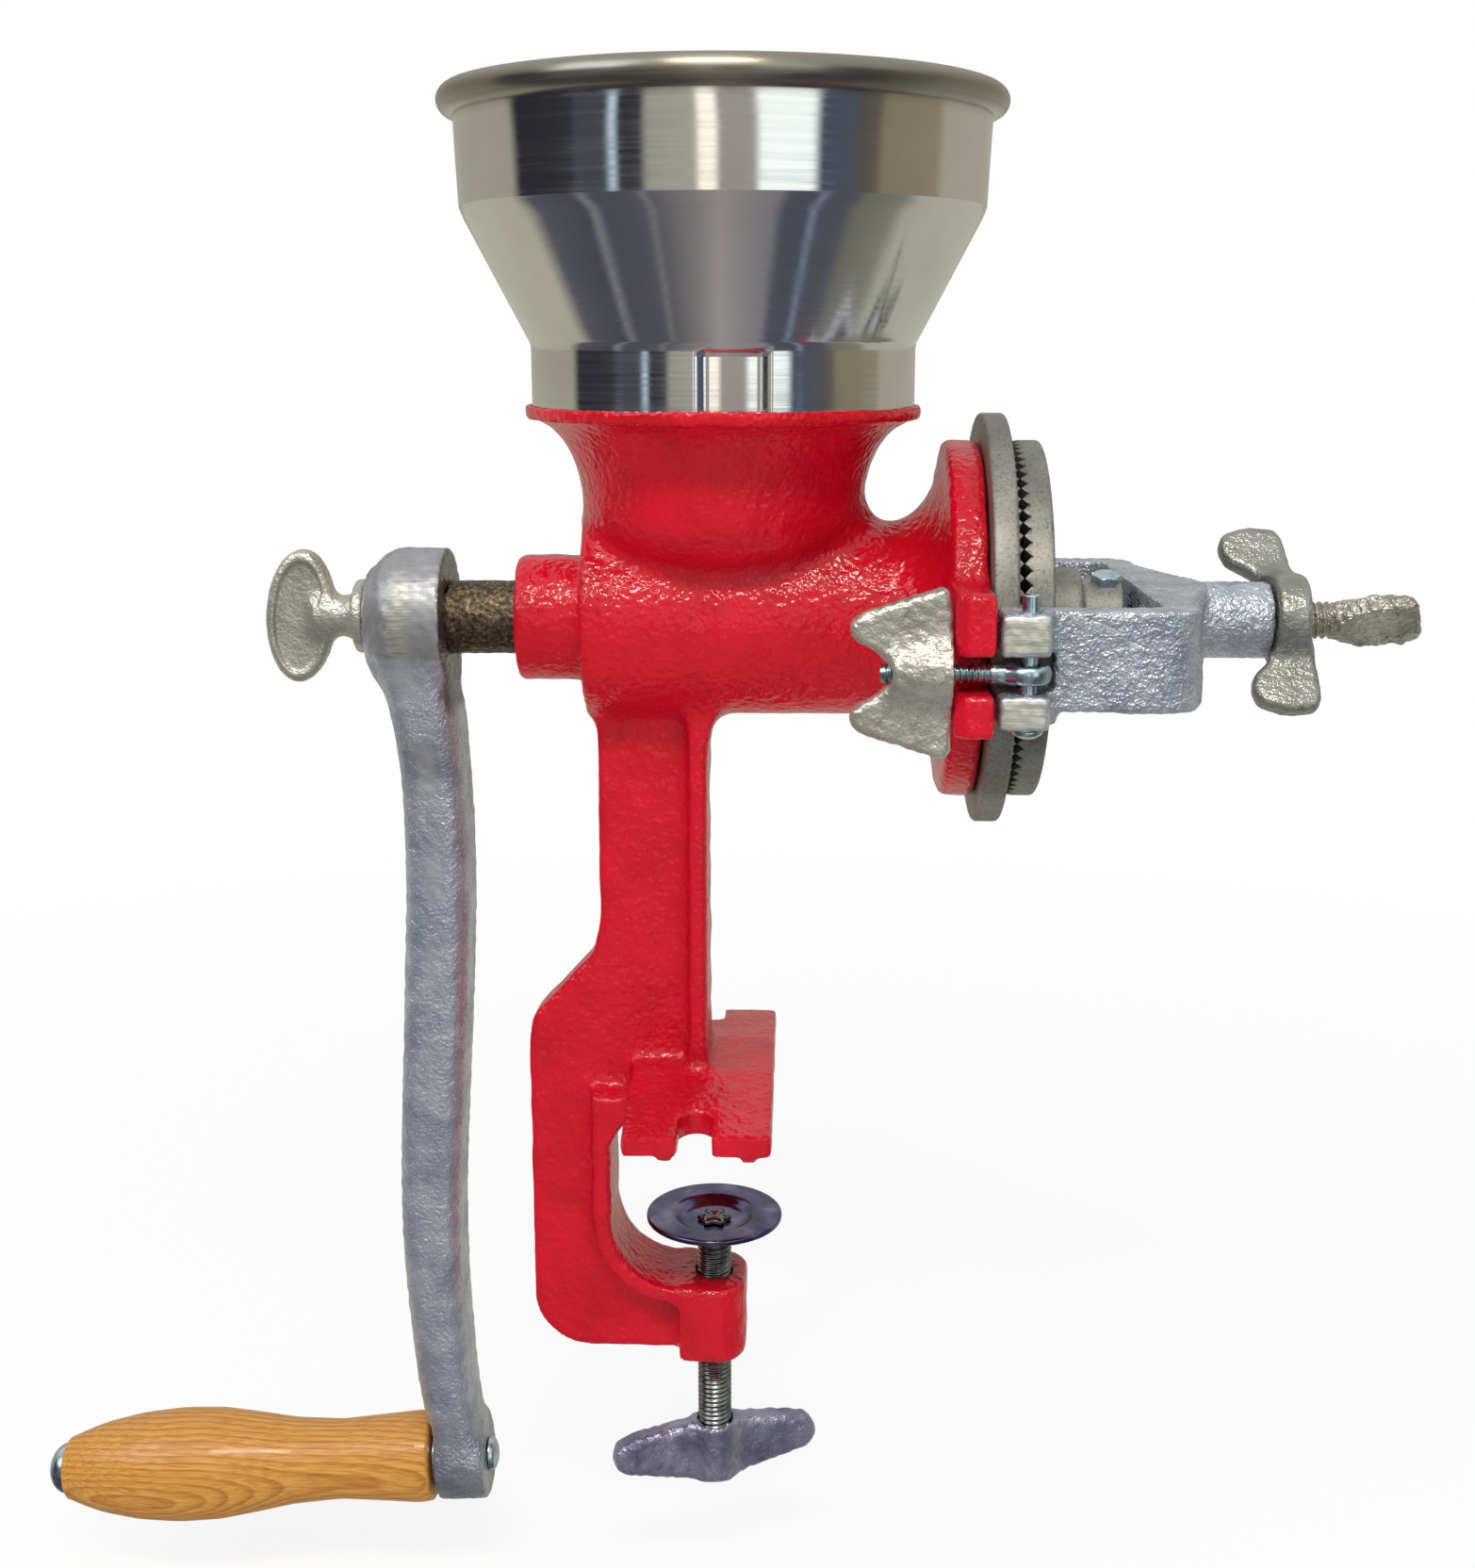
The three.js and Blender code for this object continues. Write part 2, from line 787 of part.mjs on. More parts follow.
function makeFixedDisc() {
  const blank = solid(
    discSkin([
      circle(fixedBackX, chamberRadius, hubPoints),
      circle(fixedBackX, fixedDiscRadius - 1.2, rimPoints),
      circle(fixedBackX + 1.2, fixedDiscRadius, rimPoints),
      circle(fixedValleyX - 0.6, fixedDiscRadius, rimPoints),
      circle(fixedValleyX, fixedDiscRadius - 0.6, rimPoints),
      circle(fixedValleyX, turningDiscRadius, toothPoints),
      circle(fixedValleyX, turningDiscRadius - 0.3, toothPoints, toothHeight),
      circle(fixedValleyX, toothInnerRadius, rimPoints),
      circle(fixedValleyX, chamberRadius, hubPoints),
    ]),
  );
  const seats = [90, 270].flatMap((angle) => {
    const [y, z] = arc(0, 0, discScrewCircle, angle, angle, 1)[0];
    return [
      rodX(discScrewRadius + seatGap, fixedBackX - 1, fixedPeakX + 1, y, z, 12),
      rodX(discScrewHead + seatGap, fixedValleyX - discHeadDepth, fixedPeakX + 1, y, z, 16),
    ];
  });
  return cut(blank, ...seats);
}

addPiece("fixed_disc", makeFixedDisc(), greyIron);

[90, 270].forEach((angle, i) => {
  const [y, z] = arc(0, 0, discScrewCircle, angle, angle, 1)[0];
  const headBack = fixedValleyX - discHeadDepth + seatGap;
  const headFront = headBack + 2.6;
  const profile = [
    [flangeBackX - 1, 0],
    [flangeBackX - 1, discScrewRadius],
    [headBack, discScrewRadius],
    [headBack, discScrewHead],
    [headFront, discScrewHead],
    [headFront, 0],
  ];
  const screw = cut(
    solid(turnedX(profile, 12)),
    box(headFront - 1.1, headFront + 1, -0.6, 0.6, -discScrewHead - 1, discScrewHead + 1),
  );
  addPiece(["disc_screw_upper", "disc_screw_lower"][i], screw.translate([0, y, z]), zincPlate);
});

function makeTurningDisc() {
  const bore = shaftStubRadius + seatGap;
  const blank = solid(
    discSkin([
      circle(turningValleyX, bore, hubPoints),
      circle(turningValleyX, toothInnerRadius, rimPoints),
      circle(turningValleyX, turningDiscRadius - 0.3, toothPoints, -toothHeight),
      circle(turningValleyX, turningDiscRadius, toothPoints),
      circle(turningBackX - 1, turningDiscRadius, rimPoints),
      circle(turningBackX, turningDiscRadius - 1, rimPoints),
      circle(turningBackX, hubRadius + 2, hubPoints),
      circle(turningBackX + 2, hubRadius, hubPoints),
      circle(neckX - 2, hubRadius, hubPoints),
      circle(neckX, hubNeckRadius, hubPoints),
      circle(hubEndX - 0.8, hubNeckRadius, hubPoints),
      circle(hubEndX, hubNeckRadius - 0.8, hubPoints),
      circle(hubEndX, bore, hubPoints),
    ]),
  );
  const reach = hubRadius + 1;
  const seats = [-1, 1].map((side) => {
    const span = [side * crossBoltSeat, side * reach].sort((a, b) => a - b);
    const flat = box(neckX + 0.4, hubEndX + 1, -reach, reach, ...span);
    return flat.rotate([crossBoltAngle, 0, 0]);
  });
  return cut(blank, crossHole(reach), ...seats);
}

addPiece("turning_disc", makeTurningDisc(), greyIron);

function hexagon(flats) {
  const corners = 6;
  return arc(0, 0, flats / Math.sqrt(3), 0, 360, corners).slice(0, corners);
}

function makeCrossBolt() {
  const seat = crossBoltSeat + seatGap;
  const head = solid(place(plate(hexagon(crossBoltFlats), crossBoltHead, 0.3), 0, 0, seat + crossBoltHead / 2));
  const shank = rodZ(crossBoltRadius, -seat - crossNutHeight - 1.2, seat + 1, 0, 0, 16);
  return join(head, shank).rotate([crossBoltAngle, 0, 0]).translate([crossBoltX, 0, 0]);
}

function makeCrossNut() {
  const middle = -crossBoltSeat - seatGap - crossNutHeight / 2;
  const block = solid(place(plate(hexagon(crossBoltFlats), crossNutHeight, 0.3), 0, 0, middle));
  const bored = cut(block, rodZ(crossBoltRadius + seatGap, middle - 4, middle + 4, 0, 0, 16));
  return bored.rotate([crossBoltAngle, 0, 0]).translate([crossBoltX, 0, 0]);
}

addPiece("cross_bolt", makeCrossBolt(), zincPlate);
addPiece("cross_nut", makeCrossNut(), zincPlate);

// Thrust ball between the shaft end and the adjusting screw
const ballX = shaftEndX - ballSeatDepth + seatGap + ballRadius;
const ball = new THREE.SphereGeometry(ballRadius, 14, 8);
addPiece("thrust_ball", solid(place(ball, ballX, 0, 0)), zincPlate);

// Yoke: two arms, a bridge and the nose that holds the adjusting screw
const lugLeftX = earRightX + 1;
const lugRightX = lugLeftX + lugLength;
const noseRootX = bridgeOuterX + 8;

function yokeFrame() {
  const half = [
    [lugLeftX, armInnerY],
    [lugLeftX, armOuterY],
    [bridgeOuterX - bridgeCorner, armOuterY],
    ...arc(bridgeOuterX - bridgeCorner, armOuterY - bridgeCorner, bridgeCorner, 90, 0, 4),
    [bridgeOuterX, armOuterY - 18],
    [noseRootX, noseRadius + 2],
    [noseRootX + 2, noseRadius - 1],
  ];
  const mirrored = half.map(([x, y]) => [x, -y]).reverse();
  const inside = [
    [bridgeInnerX, -armInnerY],
    [bridgeInnerX, armInnerY],
  ];
  const height = yokeTop - yokeBottom;
  const frame = plate([...half, ...mirrored, ...inside], height, 1, 1);
  return solid(place(frame, 0, 0, (yokeTop + yokeBottom) / 2));
}

function lug(side, bottom, top) {
  const plan = [
    [lugLeftX, side * (armInnerY + 4)],
    [lugRightX + 2, side * (armInnerY + 4)],
    [lugRightX + 2, side * armOuterY],
    [lugRightX, side * (armOuterY + 2)],
    [lugRightX, side * (earOuterY - 1.5)],
    [lugRightX - 1.5, side * earOuterY],
    [lugLeftX + 1.5, side * earOuterY],
    [lugLeftX, side * (earOuterY - 1.5)],
  ];
  return solid(place(plate(plan, top - bottom, 0.8, 1), 0, 0, (top + bottom) / 2));
}

function noseBarrel() {
  return solid(
    turnedX(
      [
        [bridgeInnerX + 2, 0],
        [bridgeInnerX + 2, noseRadius],
        [noseEndX - 1, noseRadius],
        [noseEndX, noseRadius - 1],
        [noseEndX, 0],
      ],
      24,
    ),
  );
}

function makeYoke() {
  const lugs = [-1, 1].flatMap((side) => [
    lug(side, slotTop, lugUpperTop),
    lug(side, lugLowerBottom, slotBottom),
  ]);
  const shell = join(yokeFrame(), noseBarrel(), ...lugs);
  const pinHoles = [-1, 1].map((side) =>
    rodZ(pinRadius + seatGap, yokeBottom - 4, yokeTop + 2, pinX, side * pinY, 16),
  );
  const eyeSlots = [-1, 1].map((side) => {
    const span = [side * (fixedDiscRadius - 6), side * (earOuterY + 1)].sort((a, b) => a - b);
    return box(lugLeftX - 1, pinX + eyeRadius + 1, ...span, slotBottom, slotTop);
  });
  const discRoom = rodX(fixedDiscRadius + 0.9, lugLeftX - 1, fixedPeakX + 0.4, 0, 0, 60);
  const screwHole = rodX(adjusterRadius + runGap, bridgeInnerX - 1, noseEndX + 1);
  return cut(shell, ...pinHoles, ...eyeSlots, discRoom, screwHole);
}

addPiece("yoke", makeYoke(), silverPaint);

// Swing bolts on their hinge pins, one on each side, with cast wing nuts

function makeHingePin(side) {
  const headTop = lugLowerBottom - seatGap;
  const headBottom = headTop - pinHeadHeight;
  const profile = [
    [0, headBottom],
    [pinHeadRadius * 0.55, headBottom + 0.2],
    [pinHeadRadius, headBottom + 1.3],
    [pinHeadRadius, headTop],
    [pinRadius, headTop],
    [pinRadius, pinTop - 0.4],
    [pinRadius - 0.4, pinTop],
    [0, pinTop],
  ];
  return solid(place(turnedZ(profile, 16), pinX, side * pinY, 0));
}

function makeSwingBolt(side) {
  const rim = eyeRadius - 1.4;
  const eye = solid(
    turnedZ(
      [
        [0, -eyeThickness / 2],
        [rim, -eyeThickness / 2],
        [eyeRadius, -eyeThickness / 2 + 1.4],
        [eyeRadius, eyeThickness / 2 - 1.4],
        [rim, eyeThickness / 2],
        [0, eyeThickness / 2],
      ],
      20,
    ),
  );
  const shank = rodX(swingBoltRadius, swingBoltEndX - pinX, -rim, 0, 0, 20);
  const hole = rodZ(pinRadius + runGap, -eyeThickness, eyeThickness, 0, 0, 20);
  return cut(join(eye, shank), hole).translate([pinX, side * pinY, -clampDrop]);
}

const wingNutFaceX = earLeftX - seatGap;

function makeWingNut(side) {
  const reach = wingNutSpan / 2;
  const left = wingNutFaceX - wingNutLength;
  const notch = wingNutFaceX - wingNutHubLength;
  const upper = [
    [wingNutFaceX, reach - 6],
    [wingNutFaceX - 1, reach - 0.8],
    [wingNutFaceX - 2.4, reach],
    [left + 3, reach - 6],
    [left + 0.6, reach - 8],
    [left, reach - 10.6],
    [left + 1.6, reach - 13],
    [left + 6, reach - 15],
  ];
  const lower = upper.slice(3).map(([x, z]) => [x, -z]).reverse();
  const corner = [
    [wingNutFaceX - 2.2, -reach],
    [wingNutFaceX, 2 - reach],
  ];
  const profile = [...upper, [notch, 1.5], [notch, -1.5], ...lower, ...corner];
  const wings = solid(upright(plate(profile, wingThickness, 1.4, 1)));
  const hub = solid(
    turnedX(
      [
        [notch, 0],
        [notch, wingNutHubRadius - 2.4],
        [wingNutFaceX - 6, wingNutHubRadius - 0.8],
        [wingNutFaceX, wingNutHubRadius],
        [wingNutFaceX, 0],
      ],
      24,
    ),
  );
  const hole = rodX(swingBoltRadius + seatGap, left - 1, wingNutFaceX + 1, 0, 0, 20);
  return cut(join(wings, hub), hole).translate([0, side * pinY, -clampDrop]);
}

[["near", -1], ["far", 1]].forEach(([where, side]) => {
  addPiece(`hinge_pin_${where}`, makeHingePin(side), zincPlate);
  addPiece(`swing_bolt_${where}`, makeSwingBolt(side), zincPlate);
  addPiece(`wing_nut_${where}`, makeWingNut(side), silverPaint);
});

// Adjusting screw with a flattened thumb end, and its lock nut
const adjusterTipX = ballX + ballRadius + seatGap;

function makeAdjuster() {
  const half = adjusterThumbWidth / 2;
  const root = adjusterThreadEndX - 3;
  const thumb = [
    [root, -half + 3.5],
    [root + 5, -half + 0.7],
    [root + 13, -half],
    [adjusterEndX - 4, -half + 0.8],
    [adjusterEndX, -half + 3.5],
    [adjusterEndX - 2.3, half - 6],
    [adjusterEndX - 5.3, half],
    [root + 9, half - 0.2],
    [root + 3, half - 2.5],
    [root, half - 3.5],
  ];
  const flat = solid(upright(plate(thumb, adjusterThumbThickness, 1.8, 2)));
  const thread = solid(
    turnedX(
      [
        [adjusterTipX, 0],
        [adjusterTipX, adjusterRadius - 1],
        [adjusterTipX + 1, adjusterRadius],
        [adjusterThreadEndX, adjusterRadius],
        [adjusterThreadEndX + 2, 0],
      ],
      24,
    ),
  );
  return join(thread, flat.rotate([adjusterTurn, 0, 0]));
}

addPiece("adjusting_screw", makeAdjuster(), silverPaint);

function makeLockNut() {
  const face = noseEndX + seatGap;
  const end = face + lockHubLength;
  const upper = [
    [end - 0.6, 8],
    [end - 0.9, lockWingTip - 10],
    [end - 1.6, lockWingTip - 2.6],
    [end - 3.4, lockWingTip - 0.6],
    [face - 1.6, lockWingTip],
    [face - lockSweep + 2.2, lockWingTip - 2.4],
    [face - lockSweep + 0.8, lockWingTip - 6.4],
    [face - lockSweep + 3.2, lockWingTip - 10.4],
    [face - 1, lockHubRadius + 1.4],
    [face + 1, 8],
  ];
  const lower = upper.map(([x, z]) => [x, -z]).reverse();
  const leaning = [...upper, ...lower].map(([x, z]) => [x - (lockLean * z) / lockWingTip, z]);
  const wings = solid(upright(plate(leaning, wingThickness, 1.6, 1)));
  const hub = solid(
    turnedX(
      [
        [face, 0],
        [face, lockHubRadius - 1.5],
        [face + 1.5, lockHubRadius],
        [end - 2, lockHubRadius],
        [end, lockHubRadius - 2],
        [end, 0],
      ],
      24,
    ),
  );
  const hole = rodX(adjusterRadius + seatGap, face - lockSweep - 1, end + 1);
  return cut(join(wings, hub), hole).rotate([-lockTurn, 0, 0]);
}

addPiece("lock_wing_nut", makeLockNut(), silverPaint);

// Crank arm, cast with its hub and the boss that carries the grip; its middle line runs through these points,
// as [distance left of the hub's right face, distance below the shaft when the throw is armLineThrow].
const armLineThrow = 251.5;
const armLine = [
  [11, 8],
  [6.5, 34],
  [5.1, 76],
  [9.7, 152],
  [9.8, 192],
];
const crankPath = new THREE.CatmullRomCurve3(
  [
    ...armLine.map(([left, down]) => [crankHubRightX - left, (-down * crankThrow) / armLineThrow]),
    [crankBossX, -crankThrow],
  ].map(([x, z]) => new THREE.Vector3(x, 0, z)),
);
const armThickness = 16.8;
const armTaper = 1.5;
const armWidth = 22;

function crankArm() {
  const stations = 14;
  const sides = 10;
  const rings = Array.from({ length: stations + 1 }, (_, i) => {
    const t = i / stations;
    const centre = crankPath.getPoint(t);
    const flare = Math.max(0, 1 - t * 7);
    const halfThickness = (armThickness - armTaper * t + 3 * flare) / 2;
    const halfWidth = (armWidth + 8 * flare) / 2;
    return Array.from({ length: sides }, (_, k) => {
      const angle = ((k + 0.5) / sides) * 2 * Math.PI;
      const soften = (value) => Math.sign(value) * Math.abs(value) ** 0.62;
      const x = centre.x + halfThickness * soften(Math.cos(angle));
      const y = halfWidth * soften(Math.sin(angle));
      return [x, y, centre.z];
    });
  });
  return solid(loft(rings));
}

function makeCrankArm() {
  const hub = solid(
    turnedX(
      [
        [crankHubLeftX, 0],
        [crankHubLeftX, crankHubNose],
        [crankHubLeftX + 1.6, crankHubNose + 2.2],
        [crankHubLeftX + 5.5, crankHubRadius - 1.4],
        [crankHubLeftX + 8.5, crankHubRadius],
        [crankHubRightX - 0.8, crankHubRadius],
        [crankHubRightX, crankHubRadius - 0.8],
        [crankHubRightX, 0],
      ],
      24,
    ),
  );
  const half = crankBossLength / 2;
  const boss = solid(
    turnedX(
      [
        [-half, 0],
        [-half, crankBossRadius - 1.2],
        [-half + 1.2, crankBossRadius],
        [half - 1.2, crankBossRadius],
        [half, crankBossRadius - 1.2],
        [half, 0],
      ],
      20,
    ),
  );
  const hole = rodX(rivetRadius + seatGap, -half - 2, half + 2, 0, 0, 16);
  const toBoss = (made) => made.rotate([0, -gripTilt, 0]).translate([crankBossX, 0, -crankThrow]);
  const trim = [-1, 1].map((side) => {
    const near = side * half;
    const far = side * (half + 12);
    return box(Math.min(near, far), Math.max(near, far), -20, 20, -20, crankBossRadius);
  });
  const bore = shaftRadius + seatGap;
  const socket = rodX(bore, crankHubLeftX + hubWall, crankHubRightX + 1, 0, 0, 16);
  const keep = (tangFlats + 2 * seatGap) / 2;
  const shapedSocket = socket.intersect(box(crankHubLeftX, crankHubRightX + 2, -bore, bore, -keep, keep));
  const screwHole = rodX(thumbShankRadius + runGap, crankHubLeftX - 1, crankHubRightX, 0, 0, 16);
  return cut(
    join(hub, crankArm(), toBoss(boss)),
    shapedSocket,
    screwHole,
    toBoss(hole),
    ...trim.map(toBoss),
  );
}

addPiece("crank_arm", makeCrankArm(), silverPaint);

// Thumb screw that holds the crank on the shaft end
function makeThumbScrew() {
  const collarRight = crankHubLeftX - seatGap;
  const collarLeft = collarRight - thumbCollarThickness;
  const headRight = collarLeft - thumbNeckLength;
  const headX = headRight - thumbHeadWidth / 2;
  const ovalPoints = 20;
  const oval = (shrink) =>
    arc(0, 0, 1, 0, 360, ovalPoints)
      .slice(0, ovalPoints)
      .map(([x, z]) => [x * (thumbHeadWidth / 2 - shrink), z * (thumbHeadHeight / 2 - shrink)]);
  const head = solid(upright(plate(oval(0), thumbHeadThickness, 1.8, 1)));
  const sunk = [-1, 1].map((side) => {
    const pocket = solid(upright(plate(oval(3.4), 2, 0.8, 1)));
    return pocket.translate([0, (side * thumbHeadThickness) / 2, 0]);
  });
  const stem = solid(
    turnedX(
      [
        [headRight - 3, 0],
        [headRight - 3, thumbHeadThickness / 2 - 0.4],
        [headRight + 0.5, thumbNeckRadius - 1],
        [headRight + 3, thumbNeckRadius - 0.6],
        [collarLeft - 0.4, thumbNeckRadius + 0.8],
        [collarLeft, thumbCollarRadius - 1.4],
        [collarLeft + 1.4, thumbCollarRadius],
        [collarRight - 1, thumbCollarRadius],
        [collarRight, thumbCollarRadius - 1],
        [collarRight, thumbShankRadius],
        [collarRight + thumbShankLength, thumbShankRadius],
        [collarRight + thumbShankLength, 0],
      ],
      14,
    ),
  );
  return join(cut(head, ...sunk).translate([headX, 0, 0]), stem);
}

addPiece("crank_thumb_screw", makeThumbScrew(), silverPaint);

// Wooden grip turning on a rivet through the boss of the crank
const gripFrame = new THREE.Group();
gripFrame.position.set(crankBossX, 0, -crankThrow);
gripFrame.rotation.y = THREE.MathUtils.degToRad(-gripTilt);
mill.add(gripFrame);

const gripRightX = -crankBossLength / 2 - gripGap;
const gripLeftX = gripRightX - gripLength;

function makeGrip() {
  const curve = new THREE.SplineCurve(
    [
      [0.02, gripEndRadius],
      [0.11, gripEndRadius - 0.8],
      [0.25, gripNeckRadius],
      [0.38, gripNeckRadius + 1.1],
      [0.58, gripBellyRadius - 0.2],
      [0.69, gripBellyRadius],
      [0.8, gripBellyRadius - 1.1],
      [0.9, gripBellyRadius - 3.4],
      [1, gripTailRadius],
    ].map(([share, radius]) => new THREE.Vector2(gripRightX - share * gripLength, radius)),
  );
  const bore = rivetRadius + runGap;
  const skin = curve.getPoints(12).map((point) => [point.x, point.y]);
  const profile = [
    [gripRightX, bore],
    [gripRightX, gripEndRadius - 1.6],
    ...skin,
    [gripLeftX, bore],
    [gripRightX, bore],
  ];
  return solid(turnedX(profile, 22));
}

function makeRivet() {
  const domeX = gripLeftX - seatGap;
  const half = crankBossLength / 2;
  const dome = arc(0, 0, 1, 0, 90, 5).map(([across, out]) => [
    domeX - rivetDomeHeight * out,
    Math.max(rivetDomeRadius * across, 0),
  ]);
  const profile = [
    ...dome.reverse(),
    [domeX, rivetRadius],
    [half + seatGap, rivetRadius],
    [half + seatGap, rivetRadius + 2],
    [half + seatGap + 1.6, rivetRadius + 1.4],
    [half + seatGap + 2.4, 0],
  ];
  profile[0][1] = 0;
  return solid(turnedX(profile, 16));
}

function makeGripWasher() {
  const right = -crankBossLength / 2 - seatGap;
  const left = gripRightX + seatGap;
  const inner = rivetRadius + seatGap;
  return solid(turnedX([[left, inner], [left, 8.5], [right, 8.5], [right, inner], [left, inner]], 24));
}

addPiece("grip", makeGrip(), varnishedWood, gripFrame);
addPiece("grip_rivet", makeRivet(), zincPlate, gripFrame);
addPiece("grip_washer", makeGripWasher(), zincPlate, gripFrame);

// Table clamp: threaded screw, swivelling pressed pad and cast wing handle
const tipNeckRadius = clampScrewRadius - 1.9;
const padFloor = padTop - padDish;
const padUnder = padFloor - padThickness;

function makeClampPad() {
  const hole = tipNeckRadius + runGap;
  const profile = [
    [hole, padUnder],
    [padDishRadius - 1, padUnder],
    [padDishRadius + 1.6, padTop - padThickness],
    [padRadius - 0.4, padTop - padThickness],
    [padRadius, padTop - padThickness + 0.4],
    [padRadius, padTop - 0.4],
    [padRadius - 0.4, padTop],
    [padDishRadius + 1, padTop],
    [padDishRadius - 1.4, padFloor],
    [hole, padFloor],
    [hole, padUnder],
  ];
  return solid(turnedZ(profile, 26));
}

function makeClampScrew() {
  const crimp = padFloor + seatGap;
  const profile = [
    [0, handleTop - 6],
    [clampScrewRadius, handleTop - 6],
    [clampScrewRadius, padUnder - seatGap - 0.8],
    [clampScrewRadius - 0.8, padUnder - seatGap],
    [tipNeckRadius, padUnder - seatGap],
    [tipNeckRadius, crimp],
    [clampScrewRadius - 0.6, crimp],
    [clampScrewRadius - 1, crimp + clampTipHeight * 0.6],
    [clampScrewRadius - 2.4, crimp + clampTipHeight],
    [0, crimp + clampTipHeight - 0.6],
  ];
  return solid(turnedZ(profile, 24));
}

function makeHandle() {
  const reach = handleSpan / 2;
  const middle = (handleTop + handleBottom) / 2 - 0.3;
  const right = [
    [handleHubRadius - 1, handleBottom + 1],
    [handleHubRadius + 4, handleBottom + 4.5],
    [reach - 6, middle - 5.6],
    ...arc(reach - 5.6, middle, 5.6, -70, 70, 4),
    [reach - 8, middle + 6],
    [handleHubRadius + 5, middle + 4.6],
    [handleHubRadius, handleTop - 4],
  ];
  const left = right.map(([x, z]) => [-x, z]).reverse();
  const wings = solid(upright(plate([...right, ...left], handleThickness, 1.8, 1)));
  const hub = solid(
    turnedZ(
      [
        [0, handleBottom],
        [handleHubRadius - 1.6, handleBottom],
        [handleHubRadius, handleBottom + 2],
        [handleHubRadius, handleTop - 1],
        [handleHubRadius - 0.8, handleTop],
        [0, handleTop],
      ],
      20,
    ),
  );
  const socket = rodZ(clampScrewRadius + seatGap, handleTop - 6 - seatGap, handleTop + 1);
  return cut(join(wings, hub).rotate([0, 0, handleTurn]), socket);
}

addPiece("clamp_pad", makeClampPad(), bluedSteel);
addPiece("clamp_screw", makeClampScrew(), zincPlate);
addPiece("clamp_wing_handle", makeHandle(), silverPaint);

const part = new THREE.Group();
part.add(mill);
export default part;
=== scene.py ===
import math
import bpy
import numpy as np
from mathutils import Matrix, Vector


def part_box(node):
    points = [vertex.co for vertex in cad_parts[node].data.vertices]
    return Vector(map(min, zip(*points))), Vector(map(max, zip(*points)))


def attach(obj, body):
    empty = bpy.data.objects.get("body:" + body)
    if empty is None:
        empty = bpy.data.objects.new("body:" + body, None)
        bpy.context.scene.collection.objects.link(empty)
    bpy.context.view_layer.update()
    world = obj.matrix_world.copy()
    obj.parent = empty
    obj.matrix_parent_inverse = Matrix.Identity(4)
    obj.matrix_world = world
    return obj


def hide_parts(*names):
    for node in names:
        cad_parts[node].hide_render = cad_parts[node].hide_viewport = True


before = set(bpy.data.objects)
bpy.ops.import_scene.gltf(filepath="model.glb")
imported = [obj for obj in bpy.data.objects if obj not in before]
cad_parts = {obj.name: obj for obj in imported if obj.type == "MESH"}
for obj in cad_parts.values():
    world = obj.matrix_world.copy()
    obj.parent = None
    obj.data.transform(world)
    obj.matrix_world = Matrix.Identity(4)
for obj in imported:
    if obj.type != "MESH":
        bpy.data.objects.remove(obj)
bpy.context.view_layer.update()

# Shapes are drawn in millimetres from the shaft axis and the clamp screw's axis, as the solids are.
discLow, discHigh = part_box("fixed_disc")
shaftHeight = (discLow.z + discHigh.z) * 500
print("frame loaded, shaft at", round(shaftHeight, 2), "mm")


# Finishes

def linear(code):
    # An sRGB hex colour as the linear red, green and blue that the shaders work in.
    value = np.array([int(code[i : i + 2], 16) for i in (1, 3, 5)]) / 255
    value = np.where(value <= 0.04045, value / 12.92, ((value + 0.055) / 1.055) ** 2.4)
    return (*value.tolist(), 1.0)


def fill(tree, socket, value):
    # Links a node's first live output or a socket to an input, or sets the input to a colour or a number.
    if isinstance(value, bpy.types.Node):
        value = next(output for output in value.outputs if output.enabled)
    if isinstance(value, bpy.types.NodeSocket):
        tree.links.new(value, socket)
    else:
        socket.default_value = linear(value) if isinstance(value, str) else value


def addNode(tree, kind, inputs=None, stops=(), **settings):
    # Adds one node, sets it and fills its inputs; stops are a colour ramp's places and hex colours or greys.
    node = tree.nodes.new("ShaderNode" + kind)
    for name, value in settings.items():
        setattr(node, name, value)
    for name, value in (inputs or {}).items():
        fill(tree, node.inputs[name], value)
    if stops:
        ramp = node.color_ramp.elements
        for _ in stops[2:]:
            ramp.new(0.5)
        for element, (place, shade) in zip(ramp, stops):
            element.position = place
            element.color = linear(shade) if isinstance(shade, str) else (shade, shade, shade, 1)
    return node


def startFinish(name):
    # A new material, its tree, and the coordinates of the piece that carries it.
    material = bpy.data.materials.new(name)
    material.use_nodes = True
    tree = material.node_tree
    return material, tree, addNode(tree, "TexCoord").outputs["Object"]


def endFinish(material, sockets):
    # Fills the sockets of the material's shader.
    tree = material.node_tree
    for name, value in sockets.items():
        fill(tree, tree.nodes["Principled BSDF"].inputs[name], value)
    return material


def grains(size):
    # The noise scale, in waves per metre, for lumps of this size in millimetres.
    return 1000 / size


# Glossy vitreous red over a sand casting: lumps of the sand show through as small bright points.
def sandCastEnamel():
    material, tree, spot = startFinish("red enamel on sand casting")
    broad = addNode(tree, "TexNoise", {"Vector": spot, "Scale": grains(14), "Detail": 3})
    tone = addNode(tree, "ValToRGB", {"Fac": broad}, [(0.3, "#b8071c"), (0.7, "#cd0926")])
    sand = addNode(tree, "TexNoise", {"Vector": spot, "Scale": grains(4.5), "Detail": 2, "Roughness": 0.55})
    grit = addNode(tree, "TexNoise", {"Vector": spot, "Scale": grains(1.9), "Detail": 1})
    low = addNode(tree, "Bump", {"Height": sand, "Distance": 0.0004, "Strength": 0.8})
    fine = addNode(tree, "Bump", {"Height": grit, "Distance": 0.0006, "Strength": 1.0, "Normal": low})
    return endFinish(material, {
        "Base Color": tone, "Roughness": 0.34, "Specular IOR Level": 0.12,
        "Coat Weight": 0.6, "Coat Roughness": 0.08, "Normal": fine, "Coat Normal": fine,
    })


